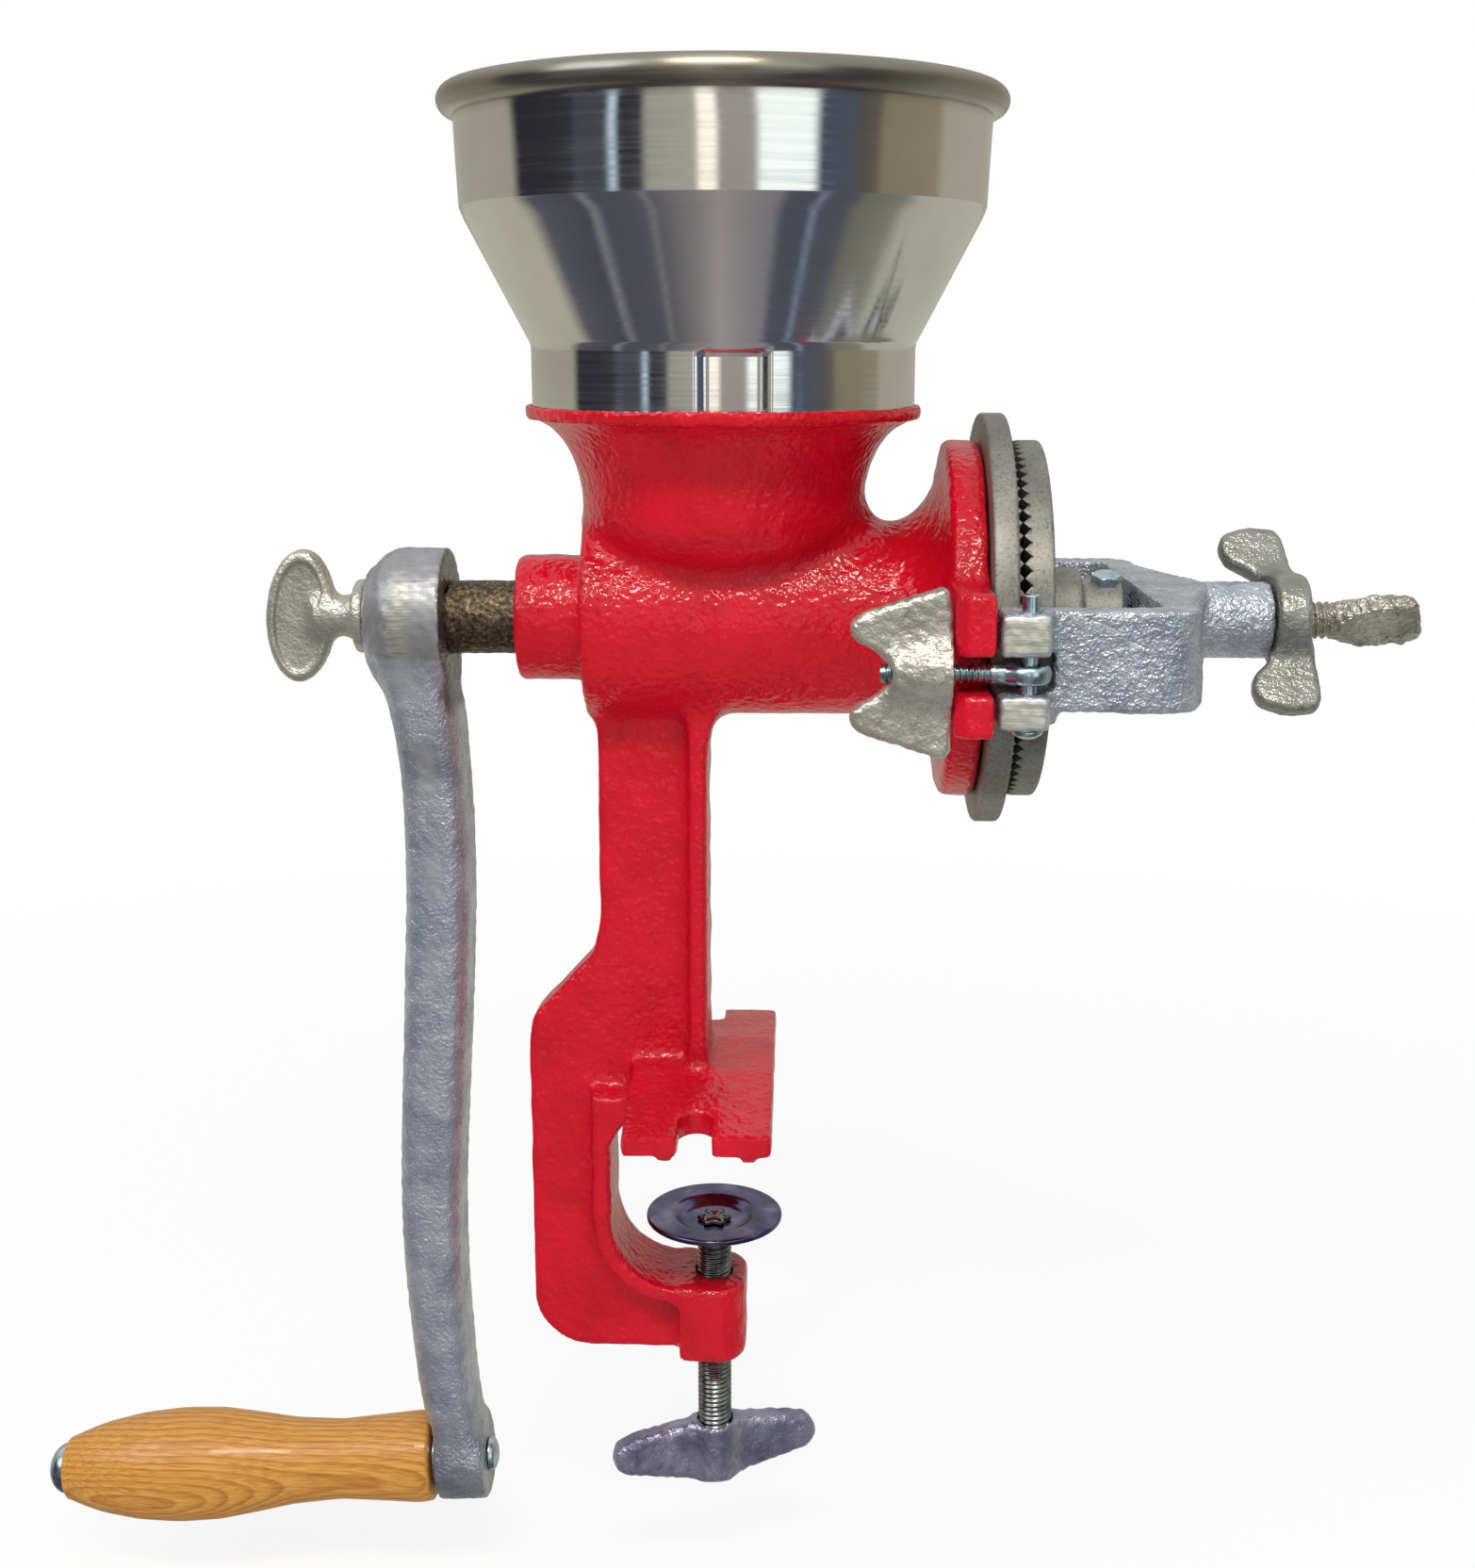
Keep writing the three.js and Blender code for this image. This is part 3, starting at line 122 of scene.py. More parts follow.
# Spun aluminium, polished: near mirror with fine rings from the tool, duller on the rolled rim.
def spunAluminium():
    material, tree, spot = startFinish("spun polished aluminium")
    flat = addNode(tree, "Mapping", {"Vector": spot, "Scale": (0.02, 0.02, 1)})
    rings = addNode(tree, "TexNoise", {"Vector": flat, "Scale": grains(0.8), "Detail": 4})
    smears = addNode(tree, "TexNoise", {"Vector": spot, "Scale": grains(30), "Detail": 5})
    rim = addNode(tree, "Attribute", attribute_name="rim").outputs["Fac"]
    tone = addNode(tree, "ValToRGB", {"Fac": smears}, [(0.3, "#dad8d0"), (0.7, "#e9e8e3")])
    worn = addNode(tree, "Mix", {"Factor": rim, 6: tone, 7: "#9a9486"}, data_type="RGBA")
    gloss = addNode(
        tree, "MapRange",
        {"Value": rings, "From Min": 0.3, "From Max": 0.7, "To Min": 0.06, "To Max": 0.16},
    )
    return endFinish(material, {
        "Base Color": worn, "Metallic": 1.0, "Anisotropic": 0.75, "Anisotropic Rotation": 0.25,
        "Roughness": addNode(tree, "Math", {0: rim, 1: 0.2, 2: gloss}, operation="MULTIPLY_ADD"),
        "Normal": addNode(tree, "Bump", {"Height": rings, "Distance": 0.00002, "Strength": 0.5}),
        "Tangent": addNode(tree, "Tangent", direction_type="RADIAL", axis="Z"),
    })


# Aluminium paint on a rough casting: it sparkles on lumps of size lump and height depth, in metres; where the
# belt has ground it, it is pale with scratches along X; rust is how deep the brown of its worn spots goes.
def silverPaintedCasting(name, light="#ccd2da", dark="#a9aeba", rust=0.0, lump=1.4, depth=0.0008):
    material, tree, spot = startFinish(name)
    ground = addNode(tree, "Attribute", attribute_name="ground").outputs["Fac"]
    skinAndShade = addNode(tree, "Attribute", attribute_name="skinAndShade").outputs["Fac"]
    broad = addNode(tree, "TexNoise", {"Vector": spot, "Scale": grains(9), "Detail": 3})
    lumps = addNode(
        tree, "TexNoise",
        {"Vector": spot, "Scale": grains(lump), "Detail": 2, "Roughness": 0.5, "Distortion": 0.4},
    )
    grit = addNode(tree, "TexNoise", {"Vector": spot, "Scale": grains(0.7), "Detail": 1})
    streak = addNode(tree, "Mapping", {"Vector": spot, "Scale": (0.06, 1, 1)})
    scratch = addNode(tree, "TexNoise", {"Vector": streak, "Scale": grains(0.45), "Detail": 3})
    tone = addNode(tree, "ValToRGB", {"Fac": broad}, [(0.32, dark), (0.68, light)])
    pale = addNode(tree, "ValToRGB", {"Fac": scratch}, [(0.35, "#b4b4aa"), (0.6, "#e2e2d6")])
    bare = addNode(tree, "Math", {0: ground, 1: ground}, operation="MULTIPLY")
    paint = addNode(tree, "Mix", {"Factor": bare, 6: tone, 7: pale}, data_type="RGBA")
    # A mark darkens the colour towards brown: raw casting skin, and on the crank painted shade as well.
    colour = addNode(tree, "Mix", {"Factor": skinAndShade, 6: paint, 7: "#4b4540"}, data_type="RGBA")
    if rust:
        stain = addNode(
            tree, "TexNoise", {"Vector": spot, "Scale": grains(2.2), "Detail": 5, "Roughness": 0.7}
        )
        where = addNode(
            tree, "MapRange",
            {"Value": stain, "From Min": 0.56, "From Max": 0.68, "To Min": 0.0, "To Max": rust},
        )
        colour = addNode(tree, "Mix", {"Factor": where, 6: colour, 7: "#5d4436"}, data_type="RGBA")
    satin = addNode(
        tree, "MapRange", {"Value": grit, "From Min": 0.3, "From Max": 0.7, "To Min": 0.2, "To Max": 0.34}
    )
    painted = addNode(tree, "MapRange", {"Value": ground, "From Max": 0.6, "To Min": 1.0, "To Max": 0.0})
    low = addNode(tree, "Bump", {"Height": lumps, "Distance": depth, "Strength": painted})
    fine = addNode(tree, "Bump", {"Height": grit, "Distance": 0.0002, "Strength": painted, "Normal": low})
    cuts = addNode(
        tree, "Bump", {"Height": scratch, "Distance": 0.00006, "Strength": ground, "Normal": fine}
    )
    return endFinish(material, {
        "Base Color": colour, "Metallic": 0.7, "Specular IOR Level": 0.5, "Normal": cuts,
        "Roughness": addNode(tree, "Math", {0: ground, 1: 0.2, 2: satin}, operation="MULTIPLY_ADD"),
    })


# Grey iron plate, ground and left bare: flat grey with specks and dark pores.
def groundGreyIron():
    material, tree, spot = startFinish("ground grey iron")
    specks = addNode(
        tree, "TexNoise", {"Vector": spot, "Scale": grains(0.8), "Detail": 3, "Roughness": 0.7}
    )
    broad = addNode(tree, "TexNoise", {"Vector": spot, "Scale": grains(12), "Detail": 2})
    tone = addNode(
        tree, "ValToRGB", {"Fac": specks}, [(0.28, "#5f605c"), (0.45, "#94938d"), (0.75, "#a9a8a0")]
    )
    shade = addNode(tree, "ValToRGB", {"Fac": broad}, [(0.3, "#dadad6"), (0.7, "#ffffff")])
    return endFinish(material, {
        "Metallic": 0.7, "Specular IOR Level": 0.5,
        "Base Color": addNode(
            tree, "Mix", {"Factor": 1.0, 6: tone, 7: shade}, data_type="RGBA", blend_type="MULTIPLY"
        ),
        "Roughness": addNode(tree, "MapRange", {"Value": specks, "To Min": 0.38, "To Max": 0.6}),
        "Normal": addNode(tree, "Bump", {"Height": specks, "Distance": 0.00014, "Strength": 0.7}),
    })


# Unmachined iron with its brown mill skin: dark, with brassy glints on the high spots.
def rawCastIron():
    material, tree, spot = startFinish("raw cast iron")
    lumps = addNode(tree, "TexNoise", {"Vector": spot, "Scale": grains(1.1), "Detail": 4, "Roughness": 0.6})
    tone = addNode(
        tree, "ValToRGB", {"Fac": lumps}, [(0.38, "#40372e"), (0.54, "#675a48"), (0.68, "#9c8a6c")]
    )
    return endFinish(material, {
        "Base Color": tone, "Metallic": 0.85, "Specular IOR Level": 0.5,
        "Roughness": addNode(tree, "MapRange", {"Value": lumps, "To Min": 0.55, "To Max": 0.25}),
        "Normal": addNode(tree, "Bump", {"Height": lumps, "Distance": 0.0005, "Strength": 0.9}),
    })


# Bright zinc plate on turned steel: bluish, with a faint haze.
def brightZincPlate(name, light, dark):
    material, tree, spot = startFinish(name)
    haze = addNode(tree, "TexNoise", {"Vector": spot, "Scale": grains(3), "Detail": 4})
    return endFinish(material, {
        "Base Color": addNode(tree, "ValToRGB", {"Fac": haze}, [(0.35, dark), (0.65, light)]),
        "Metallic": 1.0,
        "Roughness": addNode(
            tree, "MapRange",
            {"Value": haze, "From Min": 0.3, "From Max": 0.7, "To Min": 0.16, "To Max": 0.32},
        ),
        "Normal": addNode(tree, "Bump", {"Height": haze, "Distance": 0.00008, "Strength": 0.5}),
    })


# Pressed steel under a thin blue-violet film: mirror-like with soft clouds of tint.
def bluedPressedSteel():
    material, tree, spot = startFinish("blued pressed steel")
    clouds = addNode(tree, "TexNoise", {"Vector": spot, "Scale": grains(9), "Detail": 3})
    return endFinish(material, {
        "Base Color": addNode(
            tree, "ValToRGB", {"Fac": clouds}, [(0.3, "#454163"), (0.5, "#625d7c"), (0.7, "#8a86a0")]
        ),
        "Metallic": 1.0,
        "Roughness": addNode(
            tree, "MapRange",
            {"Value": clouds, "From Min": 0.3, "From Max": 0.7, "To Min": 0.12, "To Max": 0.24},
        ),
        "Normal": addNode(tree, "Bump", {"Height": clouds, "Distance": 0.0001, "Strength": 0.4}),
    })


# Turned beech under clear varnish: growth rings cut by the curve of the grip into ovals and long stripes.
def varnishedBeech():
    material, tree, spot = startFinish("varnished beech")
    pith = addNode(
        tree, "Mapping",
        {
            "Vector": spot, "Location": (0.145, 0.042, 0.112),
            "Rotation": (0, math.radians(4.5), math.radians(7)),
        },
    )
    bend = addNode(tree, "TexNoise", {"Vector": spot, "Scale": grains(45), "Detail": 1})
    parts = addNode(tree, "SeparateXYZ", {"Vector": pith})
    across = addNode(tree, "CombineXYZ", {"Y": parts.outputs["Y"], "Z": parts.outputs["Z"]})
    far = addNode(tree, "VectorMath", {0: across}, operation="LENGTH").outputs["Value"]
    shifted = addNode(tree, "Math", {0: bend, 1: 0.006, 2: far}, operation="MULTIPLY_ADD")
    turns = addNode(tree, "Math", {0: shifted, 1: grains(1.9)}, operation="MULTIPLY")
    ring = addNode(tree, "Math", {0: turns}, operation="FRACT")
    late = addNode(tree, "ValToRGB", {"Fac": ring}, [(0.0, 0.1), (0.45, 0.3), (0.85, 1.0), (1.0, 0.1)])
    fibre = addNode(tree, "Mapping", {"Vector": spot, "Scale": (0.05, 1, 1)})
    pores = addNode(tree, "TexNoise", {"Vector": fibre, "Scale": grains(0.5), "Detail": 3})
    base = addNode(tree, "Mix", {"Factor": late, 6: "#d7a04c", 7: "#b97a2c"}, data_type="RGBA")
    tint = addNode(tree, "ValToRGB", {"Fac": pores}, [(0.35, "#e4d0b8"), (0.6, "#ffffff")])
    return endFinish(material, {
        "Roughness": 0.46, "Coat Weight": 0.4, "Coat Roughness": 0.16, "Specular IOR Level": 0.3,
        "Base Color": addNode(
            tree, "Mix", {"Factor": 1.0, 6: base, 7: tint}, data_type="RGBA", blend_type="MULTIPLY"
        ),
        "Normal": addNode(tree, "Bump", {"Height": pores, "Distance": 0.00005, "Strength": 0.4}),
    })


redEnamel = sandCastEnamel()
brightAluminium = spunAluminium()
silverPaint = silverPaintedCasting("silver paint on rough casting")
rustySilver = silverPaintedCasting("worn silver paint on casting", "#c8c5b8", "#9d9a8e", 0.85)
warmSilver = silverPaintedCasting(
    "warm silver paint on casting", "#cbc8bb", "#aeab9f", lump=1.0, depth=0.0002
)
greySilver = silverPaintedCasting(
    "grey silver paint on casting", "#a5a59e", "#8a8a83", lump=1.0, depth=0.00018
)
violetSilver = silverPaintedCasting(
    "violet silver paint on casting", "#a8a7ba", "#74738c", lump=1.2, depth=0.0003
)
crankSilver = silverPaintedCasting(
    "silver paint on the crank", "#ccd2da", "#a3a9b8", lump=1.2, depth=0.00045
)
greyIron = groundGreyIron()
rawIron = rawCastIron()
zincPlate = brightZincPlate("bright zinc plate", "#cfe0e4", "#a0b7bf")
dullZinc = brightZincPlate("dull zinc plate", "#8f938f", "#5f635f")
bluedSteel = bluedPressedSteel()
varnishedWood = varnishedBeech()
print("finishes made")


# Surfaces on grids

def softened(points, radius, steps=5, loop=False):
    # Each corner becomes a parabola, (1-t)^2 before + 2t(1-t) corner + t^2 after, from radius before the
    # corner to radius after it on its two edges.
    points = np.asarray(points, float)
    reach = np.broadcast_to(np.asarray(radius, float), len(points))
    toLast, toNext = np.roll(points, 1, 0) - points, np.roll(points, -1, 0) - points
    if not loop:
        toLast[0], toNext[-1] = 0, 0
    lengths = [np.maximum(np.linalg.norm(side, axis=1), 1e-9) for side in (toLast, toNext)]
    before = points + toLast * (np.minimum(reach, lengths[0] * 0.48) / lengths[0])[:, None]
    after = points + toNext * (np.minimum(reach, lengths[1] * 0.48) / lengths[1])[:, None]
    t = np.linspace(0, 1, steps + 1)[None, :, None]
    curve = (1 - t) ** 2 * before[:, None] + 2 * t * (1 - t) * points[:, None] + t**2 * after[:, None]
    curve = curve.reshape(-1, points.shape[1])
    moved = np.linalg.norm(np.diff(curve, axis=0, prepend=curve[:1] - 1), axis=1)
    return curve[moved > 1e-6]


def spaced(points, step):
    # Adds points along a line so that none of its runs is longer than step.
    run = np.concatenate([[0], np.cumsum(np.linalg.norm(np.diff(points, axis=0), axis=1))])
    where = np.union1d(run, np.arange(0, run[-1], step))
    return np.stack([np.interp(where, run, column) for column in np.asarray(points).T], 1)


def arc(centreU, centreV, radius, start, end, steps=12):
    # Points at radius (cos a, sin a) from a centre, a running from start to end in degrees.
    turn = np.radians(np.linspace(start, end, steps + 1))
    return np.stack([centreU + radius * np.cos(turn), centreV + radius * np.sin(turn)], 1)


def tidied(points, triangles):
    # Points at one place become one, triangles that fall to a line go, and the rest face outwards.
    first, to = np.unique(np.round(points, 4), axis=0, return_index=True, return_inverse=True)[1:]
    points, triangles = points[first], to.reshape(-1)[triangles]
    a, b, c = triangles.T
    triangles = triangles[(a != b) & (b != c) & (c != a)]
    corner = points[triangles]
    volume = np.einsum("ij,ij->i", corner[:, 0], np.cross(corner[:, 1], corner[:, 2])).sum()
    return points, triangles if volume > 0 else triangles[:, ::-1]


def skin(grid, loopRows=False):
    # Two triangles between each four neighbours of a grid; its columns close on themselves, and its rows
    # if told.
    rows, columns = grid.shape[:2]
    i, j = np.meshgrid(np.arange(rows if loopRows else rows - 1), np.arange(columns), indexing="ij")
    up, over = (i + 1) % rows, (j + 1) % columns
    quads = np.stack([i * columns + j, i * columns + over, up * columns + over, up * columns + j], -1)
    quads = quads.reshape(-1, 4)
    return tidied(grid.reshape(-1, 3), np.concatenate([quads[:, [0, 1, 2]], quads[:, [0, 2, 3]]]))


def turnedGrid(along, radius, angle, axis="x", centre=(0, 0, 0)):
    # A point at distance radius from the axis, turned by angle: (along, r cos a, r sin a) about X,
    # (r cos a, r sin a, along) about Z.
    along, radius, angle = np.broadcast_arrays(along, radius, angle)
    across, up = radius * np.cos(angle), radius * np.sin(angle)
    order = [along, across, up] if axis == "x" else [across, up, along]
    return np.stack(order, -1) + np.asarray(centre, float)


def turned(profile, steps=96, axis="x", centre=(0, 0, 0), loop=False):
    # A profile of (along, radius) carried once round an axis.
    profile = np.asarray(profile, float)
    angle = np.linspace(0, 2 * np.pi, steps, endpoint=False)
    return skin(turnedGrid(profile[:, :1], profile[:, 1:], angle, axis, centre), loop)


def threaded(radius, start, end, pitch, depth, axis="x", centre=(0, 0, 0), steps=48, perTurn=10, fade=1.0):
    # radius - depth * |2 frac(along / pitch - turn) - 1|, a V groove on a helix with its crests and roots
    # cut flat; near each end the groove fades and a chamfer grows.
    rows = max(int((end - start) / pitch * perTurn), 8)
    along = np.linspace(start, end, rows)[:, None]
    angle = np.linspace(0, 2 * np.pi, steps, endpoint=False)
    wave = np.abs(2 * np.mod(along / pitch - angle / (2 * np.pi), 1) - 1)
    near = np.minimum((along - start) / (fade * pitch), (end - along) / (fade * pitch))
    groove = depth * np.clip(wave * 1.3 - 0.15, 0, 1) * np.clip(near, 0, 1)
    chamfer = depth * 1.2 * np.clip(1 - near, 0, 1)
    grid = turnedGrid(along, radius - np.maximum(groove, chamfer), angle, axis, centre)
    ends = [turnedGrid(np.full((1, 1), value), 0.0, angle, axis, centre) for value in (start, end)]
    return skin(np.concatenate([ends[0], grid, ends[1]]))


def normalsOf(points, triangles):
    # The mean of the normals of the triangles round each point, by their areas.
    corner = points[triangles]
    face = np.cross(corner[:, 1] - corner[:, 0], corner[:, 2] - corner[:, 0])
    total = np.stack(
        [np.bincount(triangles.ravel(), np.repeat(face[:, k], 3), len(points)) for k in range(3)], 1
    )
    return total / np.maximum(np.linalg.norm(total, axis=1), 1e-12)[:, None]


def unevenness(points, size, height, seed, waves=26):
    # The sum of waves in random directions, each about size long, with height as its usual swing.
    rng = np.random.default_rng(seed)
    direction = rng.normal(size=(waves, 3))
    direction /= np.linalg.norm(direction, axis=1)[:, None]
    length = size * rng.uniform(0.7, 1.5, waves)
    phase = rng.uniform(0, 2 * np.pi, waves)
    swing = np.sin(points @ (direction * 2 * np.pi / length[:, None]).T + phase).sum(1)
    return height * swing / math.sqrt(waves / 2)


def roughened(surface, size, height, seed):
    # Moves each point along its normal by the unevenness there.
    points, triangles = surface
    return points + normalsOf(points, triangles) * unevenness(
        points, size, height, seed
    )[:, None], triangles


# Castings: fields of signed distance on a grid of small cubes, joined with fillets

def gridSpace(low, high, step):
    # The three coordinates of a block of grid points, begun off the millimetre so that none lies on a
    # plane of symmetry.
    sides = [np.arange(a - 0.37 * step, b + step, step, dtype=np.float32) for a, b in zip(low, high)]
    return np.meshgrid(*sides, indexing="ij", sparse=True)


def flatField(outline, u, v):
    # Distance to the nearest edge of an outline, negative where a ray crosses an odd number of edges.
    start = np.asarray(outline, np.float32)
    end = np.roll(start, -1, 0)
    shape = (-1,) + (1,) * max(u.ndim, v.ndim)
    startU, startV = start[:, 0].reshape(shape), start[:, 1].reshape(shape)
    overU, overV = end[:, 0].reshape(shape) - startU, end[:, 1].reshape(shape) - startV
    long = np.maximum(overU**2 + overV**2, 1e-9)
    share = np.clip(((u - startU) * overU + (v - startV) * overV) / long, 0, 1)
    gap = np.hypot(u - startU - share * overU, v - startV - share * overV).min(0)
    level = (startV > v) != (startV + overV > v)
    rise = np.where(overV == 0, 1, overV)
    odd = (level & (u < startU + overU * (v - startV) / rise)).sum(0) % 2
    return np.where(odd == 1, -gap, gap).astype(np.float32)


def turnedField(profile, along, radius):
    # The flat field of a (along, radius) profile and its mirror image, read at each point's distance from
    # the axis.
    profile = np.asarray(profile, float)
    mirrored = np.concatenate([profile, profile[::-1] * [1, -1]])
    step = 0.4
    reach = np.arange(0, float(radius.max()) + 3 * step, step, dtype=np.float32)
    table = flatField(mirrored, along.reshape(-1, 1), reach.reshape(1, -1))
    place = radius / step
    index = place.astype(int)
    share = place - index
    if along.shape[0] > 1:
        return table[:, index[0]] * (1 - share) + table[:, index[0] + 1] * share
    index = index[:, :, 0]
    return table.T[index] * (1 - share) + table.T[index + 1] * share


def askewField(outline, u, v):
    # The flat field read from a fine table, for coordinates that lie askew to the grid.
    step = 0.3
    tableU = np.arange(float(u.min()) - 1, float(u.max()) + 1, step, dtype=np.float32)
    tableV = np.arange(float(v.min()) - 1, float(v.max()) + 1, step, dtype=np.float32)
    table = flatField(outline, tableU.reshape(-1, 1), tableV.reshape(1, -1))
    placeU, placeV = np.broadcast_arrays((u - tableU[0]) / step, (v - tableV[0]) / step)
    i, j = placeU.astype(int), placeV.astype(int)
    s, t = placeU - i, placeV - j
    return ((table[i, j] * (1 - s) + table[i + 1, j] * s) * (1 - t)
            + (table[i, j + 1] * (1 - s) + table[i + 1, j + 1] * s) * t)


def crossed(first, second, edge):
    # What lies inside both fields, with a quarter circle of radius edge where they meet.
    p, q = first + edge, second + edge
    return np.minimum(np.maximum(p, q), 0) + np.hypot(np.maximum(p, 0), np.maximum(q, 0)) - edge


def slab(outline, u, v, across, low, high, edge):
    # An outline in u and v, thick from low to high across them.
    return crossed(flatField(outline, u, v), np.abs(across - (low + high) / 2) - (high - low) / 2, edge)


def rod(radius, fromAxis, along, low, high, edge=0.5):
    # A cylinder: inside its radius and between its ends.
    return crossed(fromAxis - radius, np.abs(along - (low + high) / 2) - (high - low) / 2, edge)


def blended(first, second, fillet):
    # The smaller field, less fillet h^2 / 4 where h = 1 - |difference| / fillet, which lays metal in the
    # corner.
    h = np.maximum(1 - np.abs(first - second) / fillet, 0)
    return np.minimum(first, second) - h * h * fillet / 4


def hollowed(field, tool, edge=0.6):
    # What is left when the tool's inside is taken away, its rim rounded in the same way.
    return -blended(-field, tool, edge)


def surfaceOf(field, space):
    # One point in each cube that the zero level crosses, at the mean of the crossings on its edges,
    # and one quad round each crossed edge, facing from inside to outside.
    low = np.array([side.min() for side in space])
    step = float(space[0].ravel()[1] - space[0].ravel()[0])
    spots, rings, quads = [], [], []
    for a in range(3):
        b, c = (a + 1) % 3, (a + 2) % 3
        here = field[tuple(slice(None, -1) if k == a else slice(None) for k in range(3))]
        there = field[tuple(slice(1, None) if k == a else slice(None) for k in range(3))]
        crossing = (here < 0) != (there < 0)
        where = np.argwhere(crossing)
        start, end = here[crossing], there[crossing]
        spot = where.astype(float)
        spot[:, a] += start / (start - end)
        around = []
        for stepB, stepC in ((-1, -1), (0, -1), (0, 0), (-1, 0)):
            cell = where.copy()
            cell[:, b] += stepB
            cell[:, c] += stepC
            around.append(np.ravel_multi_index(tuple(cell.T), field.shape))
        ring = np.stack(around, 1)
        spots.append(np.repeat(spot, 4, 0))
        rings.append(ring.ravel())
        quads.append(np.where((start < 0)[:, None], ring, ring[:, ::-1]))
    cells, to = np.unique(np.concatenate(rings), return_inverse=True)
    spots, count = np.concatenate(spots), np.bincount(to)
    points = np.stack([np.bincount(to, spots[:, k]) / count for k in range(3)], 1) * step + low
    quads = np.searchsorted(cells, np.concatenate(quads))
    return points, np.concatenate([quads[:, [0, 1, 2]], quads[:, [0, 2, 3]]])


def relaxed(surface, rounds=1, share=0.5):
    # Each point moves part of the way to the mean of its neighbours, so that the marks of the cubes go.
    points, triangles = surface
    ends = np.concatenate([triangles[:, [0, 1]], triangles[:, [1, 2]], triangles[:, [2, 0]]])
    for _ in range(rounds):
        count = np.bincount(ends[:, 0], minlength=len(points))[:, None]
        total = [np.bincount(ends[:, 0], points[ends[:, 1], k], len(points)) for k in range(3)]
        points = points + (np.stack(total, 1) / count - points) * share
    return points, triangles


# Pieces

def meshOf(name, surface, scale=1.0, lift=0.0):
    # A mesh of triangles from a surface, lifted along Z and then scaled.
    points, triangles = surface
    mesh = bpy.data.meshes.new(name)
    mesh.vertices.add(len(points))
    mesh.vertices.foreach_set("co", ((points + [0, 0, lift]) * scale).astype(np.float32).ravel())
    mesh.loops.add(triangles.size)
    mesh.loops.foreach_set("vertex_index", triangles.astype(np.int32).ravel())
    mesh.polygons.add(len(triangles))
    mesh.polygons.foreach_set("loop_start", np.arange(0, triangles.size, 3, dtype=np.int32))
    mesh.update(calc_edges=True)
    return mesh


def combined(surfaces, operation="UNION"):
    # One closed surface from several by exact booleans: the first joined with each other, or cut by it.
    objects = []
    for surface in surfaces:
        thing = bpy.data.objects.new("blank", meshOf("blank", surface))
        bpy.context.scene.collection.objects.link(thing)
        objects.append(thing)
    for other in objects[1:]:
        boolean = objects[0].modifiers.new("boolean", "BOOLEAN")
        boolean.operation, boolean.solver, boolean.object = operation, "EXACT", other
    view = bpy.context.evaluated_depsgraph_get()
    made = bpy.data.meshes.new_from_object(objects[0].evaluated_get(view))
    made.calc_loop_triangles()
    points = np.empty(len(made.vertices) * 3, np.float32)
    triangles = np.empty(len(made.loop_triangles) * 3, np.int32)
    made.vertices.foreach_get("co", points)
    made.loop_triangles.foreach_get("vertices", triangles)
    for thing in objects:
        bpy.data.objects.remove(thing)
    return points.reshape(-1, 3).astype(float), triangles.reshape(-1, 3)


def makePiece(name, surface, material, body, nodes, marks=None, crease=38):
    # Puts a surface into the scene in metres, smooth but for edges sharper than crease degrees; a mark is a
    # value at each point that the finish reads, 0 where there is none.
    mesh = meshOf(name, surface, 0.001, shaftHeight)
    mesh.shade_smooth()
    mesh.set_sharp_from_angle(angle=math.radians(crease))
    for mark, values in (marks or {}).items():
        layer = mesh.attributes.new(mark, "FLOAT", "POINT")
        layer.data.foreach_set("value", np.asarray(values, np.float32))
    mesh.materials.append(material)
    piece = bpy.data.objects.new(name, mesh)
    bpy.context.scene.collection.objects.link(piece)
    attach(piece, body)
    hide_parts(*nodes)
    print(name, len(surface[1]), "triangles")


# Body casting

# The gap between the split ears and between the yoke's lugs, in which the eye bolts swing.
splitSize = {"top": -0.05, "bottom": -8.95}
bodySize = {
    "cube": 1.0, "fillet": 6.0, "saddle": 10.0, "barrelRadius": 25.5, "barrelEnd": -33.4,
    "snoutRadius": 16.6, "snoutEnd": -51.5, "flangeRadius": 47.0, "flangeBack": 61.4, "flangeFront": 69.4,
    "bellStart": 46.0, "hopperX": 3.0, "lipRadius": 51.5, "lipTop": 56.5, "lipBottom": 53.0,
    "throatRadius": 37.0, "throatHeight": 30.0, "throatDrop": 18.5, "chamberRadius": 22.0,
    "shaftBore": 10.1, "clampBore": 5.25, "lumps": 0.045, "screwHeight": 38.5, "screwBore": 2.7,
    "screwHole": 64.2, "earLeft": 59.7, "earInner": 33.0, "earOuter": 66.5, "earTop": 15.0,
    "earBottom": -19.5,
}
standSize = {
    "webHalf": 5.0, "ribHalf": 13.5, "rib": 5.0, "pillarLeft": -31.2, "pillarRight": -1.2, "flare": 2.0,
    "spineLeft": -51.6, "spineInner": -28.5, "jawTop": -190.0, "jawBottom": -212.5, "jawEnd": 9.3,
    "bossBottom": -213.4, "bossLeft": -9.5, "outerCorner": 16.0, "innerCorner": 20.0, "footLeft": -22.2,
    "footRight": 17.0, "footHalf": 49.5, "footUnder": -133.7, "footEdge": -128.0, "footTop": -124.0,
    "footBottom": -135.5, "ridgeX": 11.2, "slotX": -3.0, "slotHalf": 4.5, "slotLength": 10.0,
}


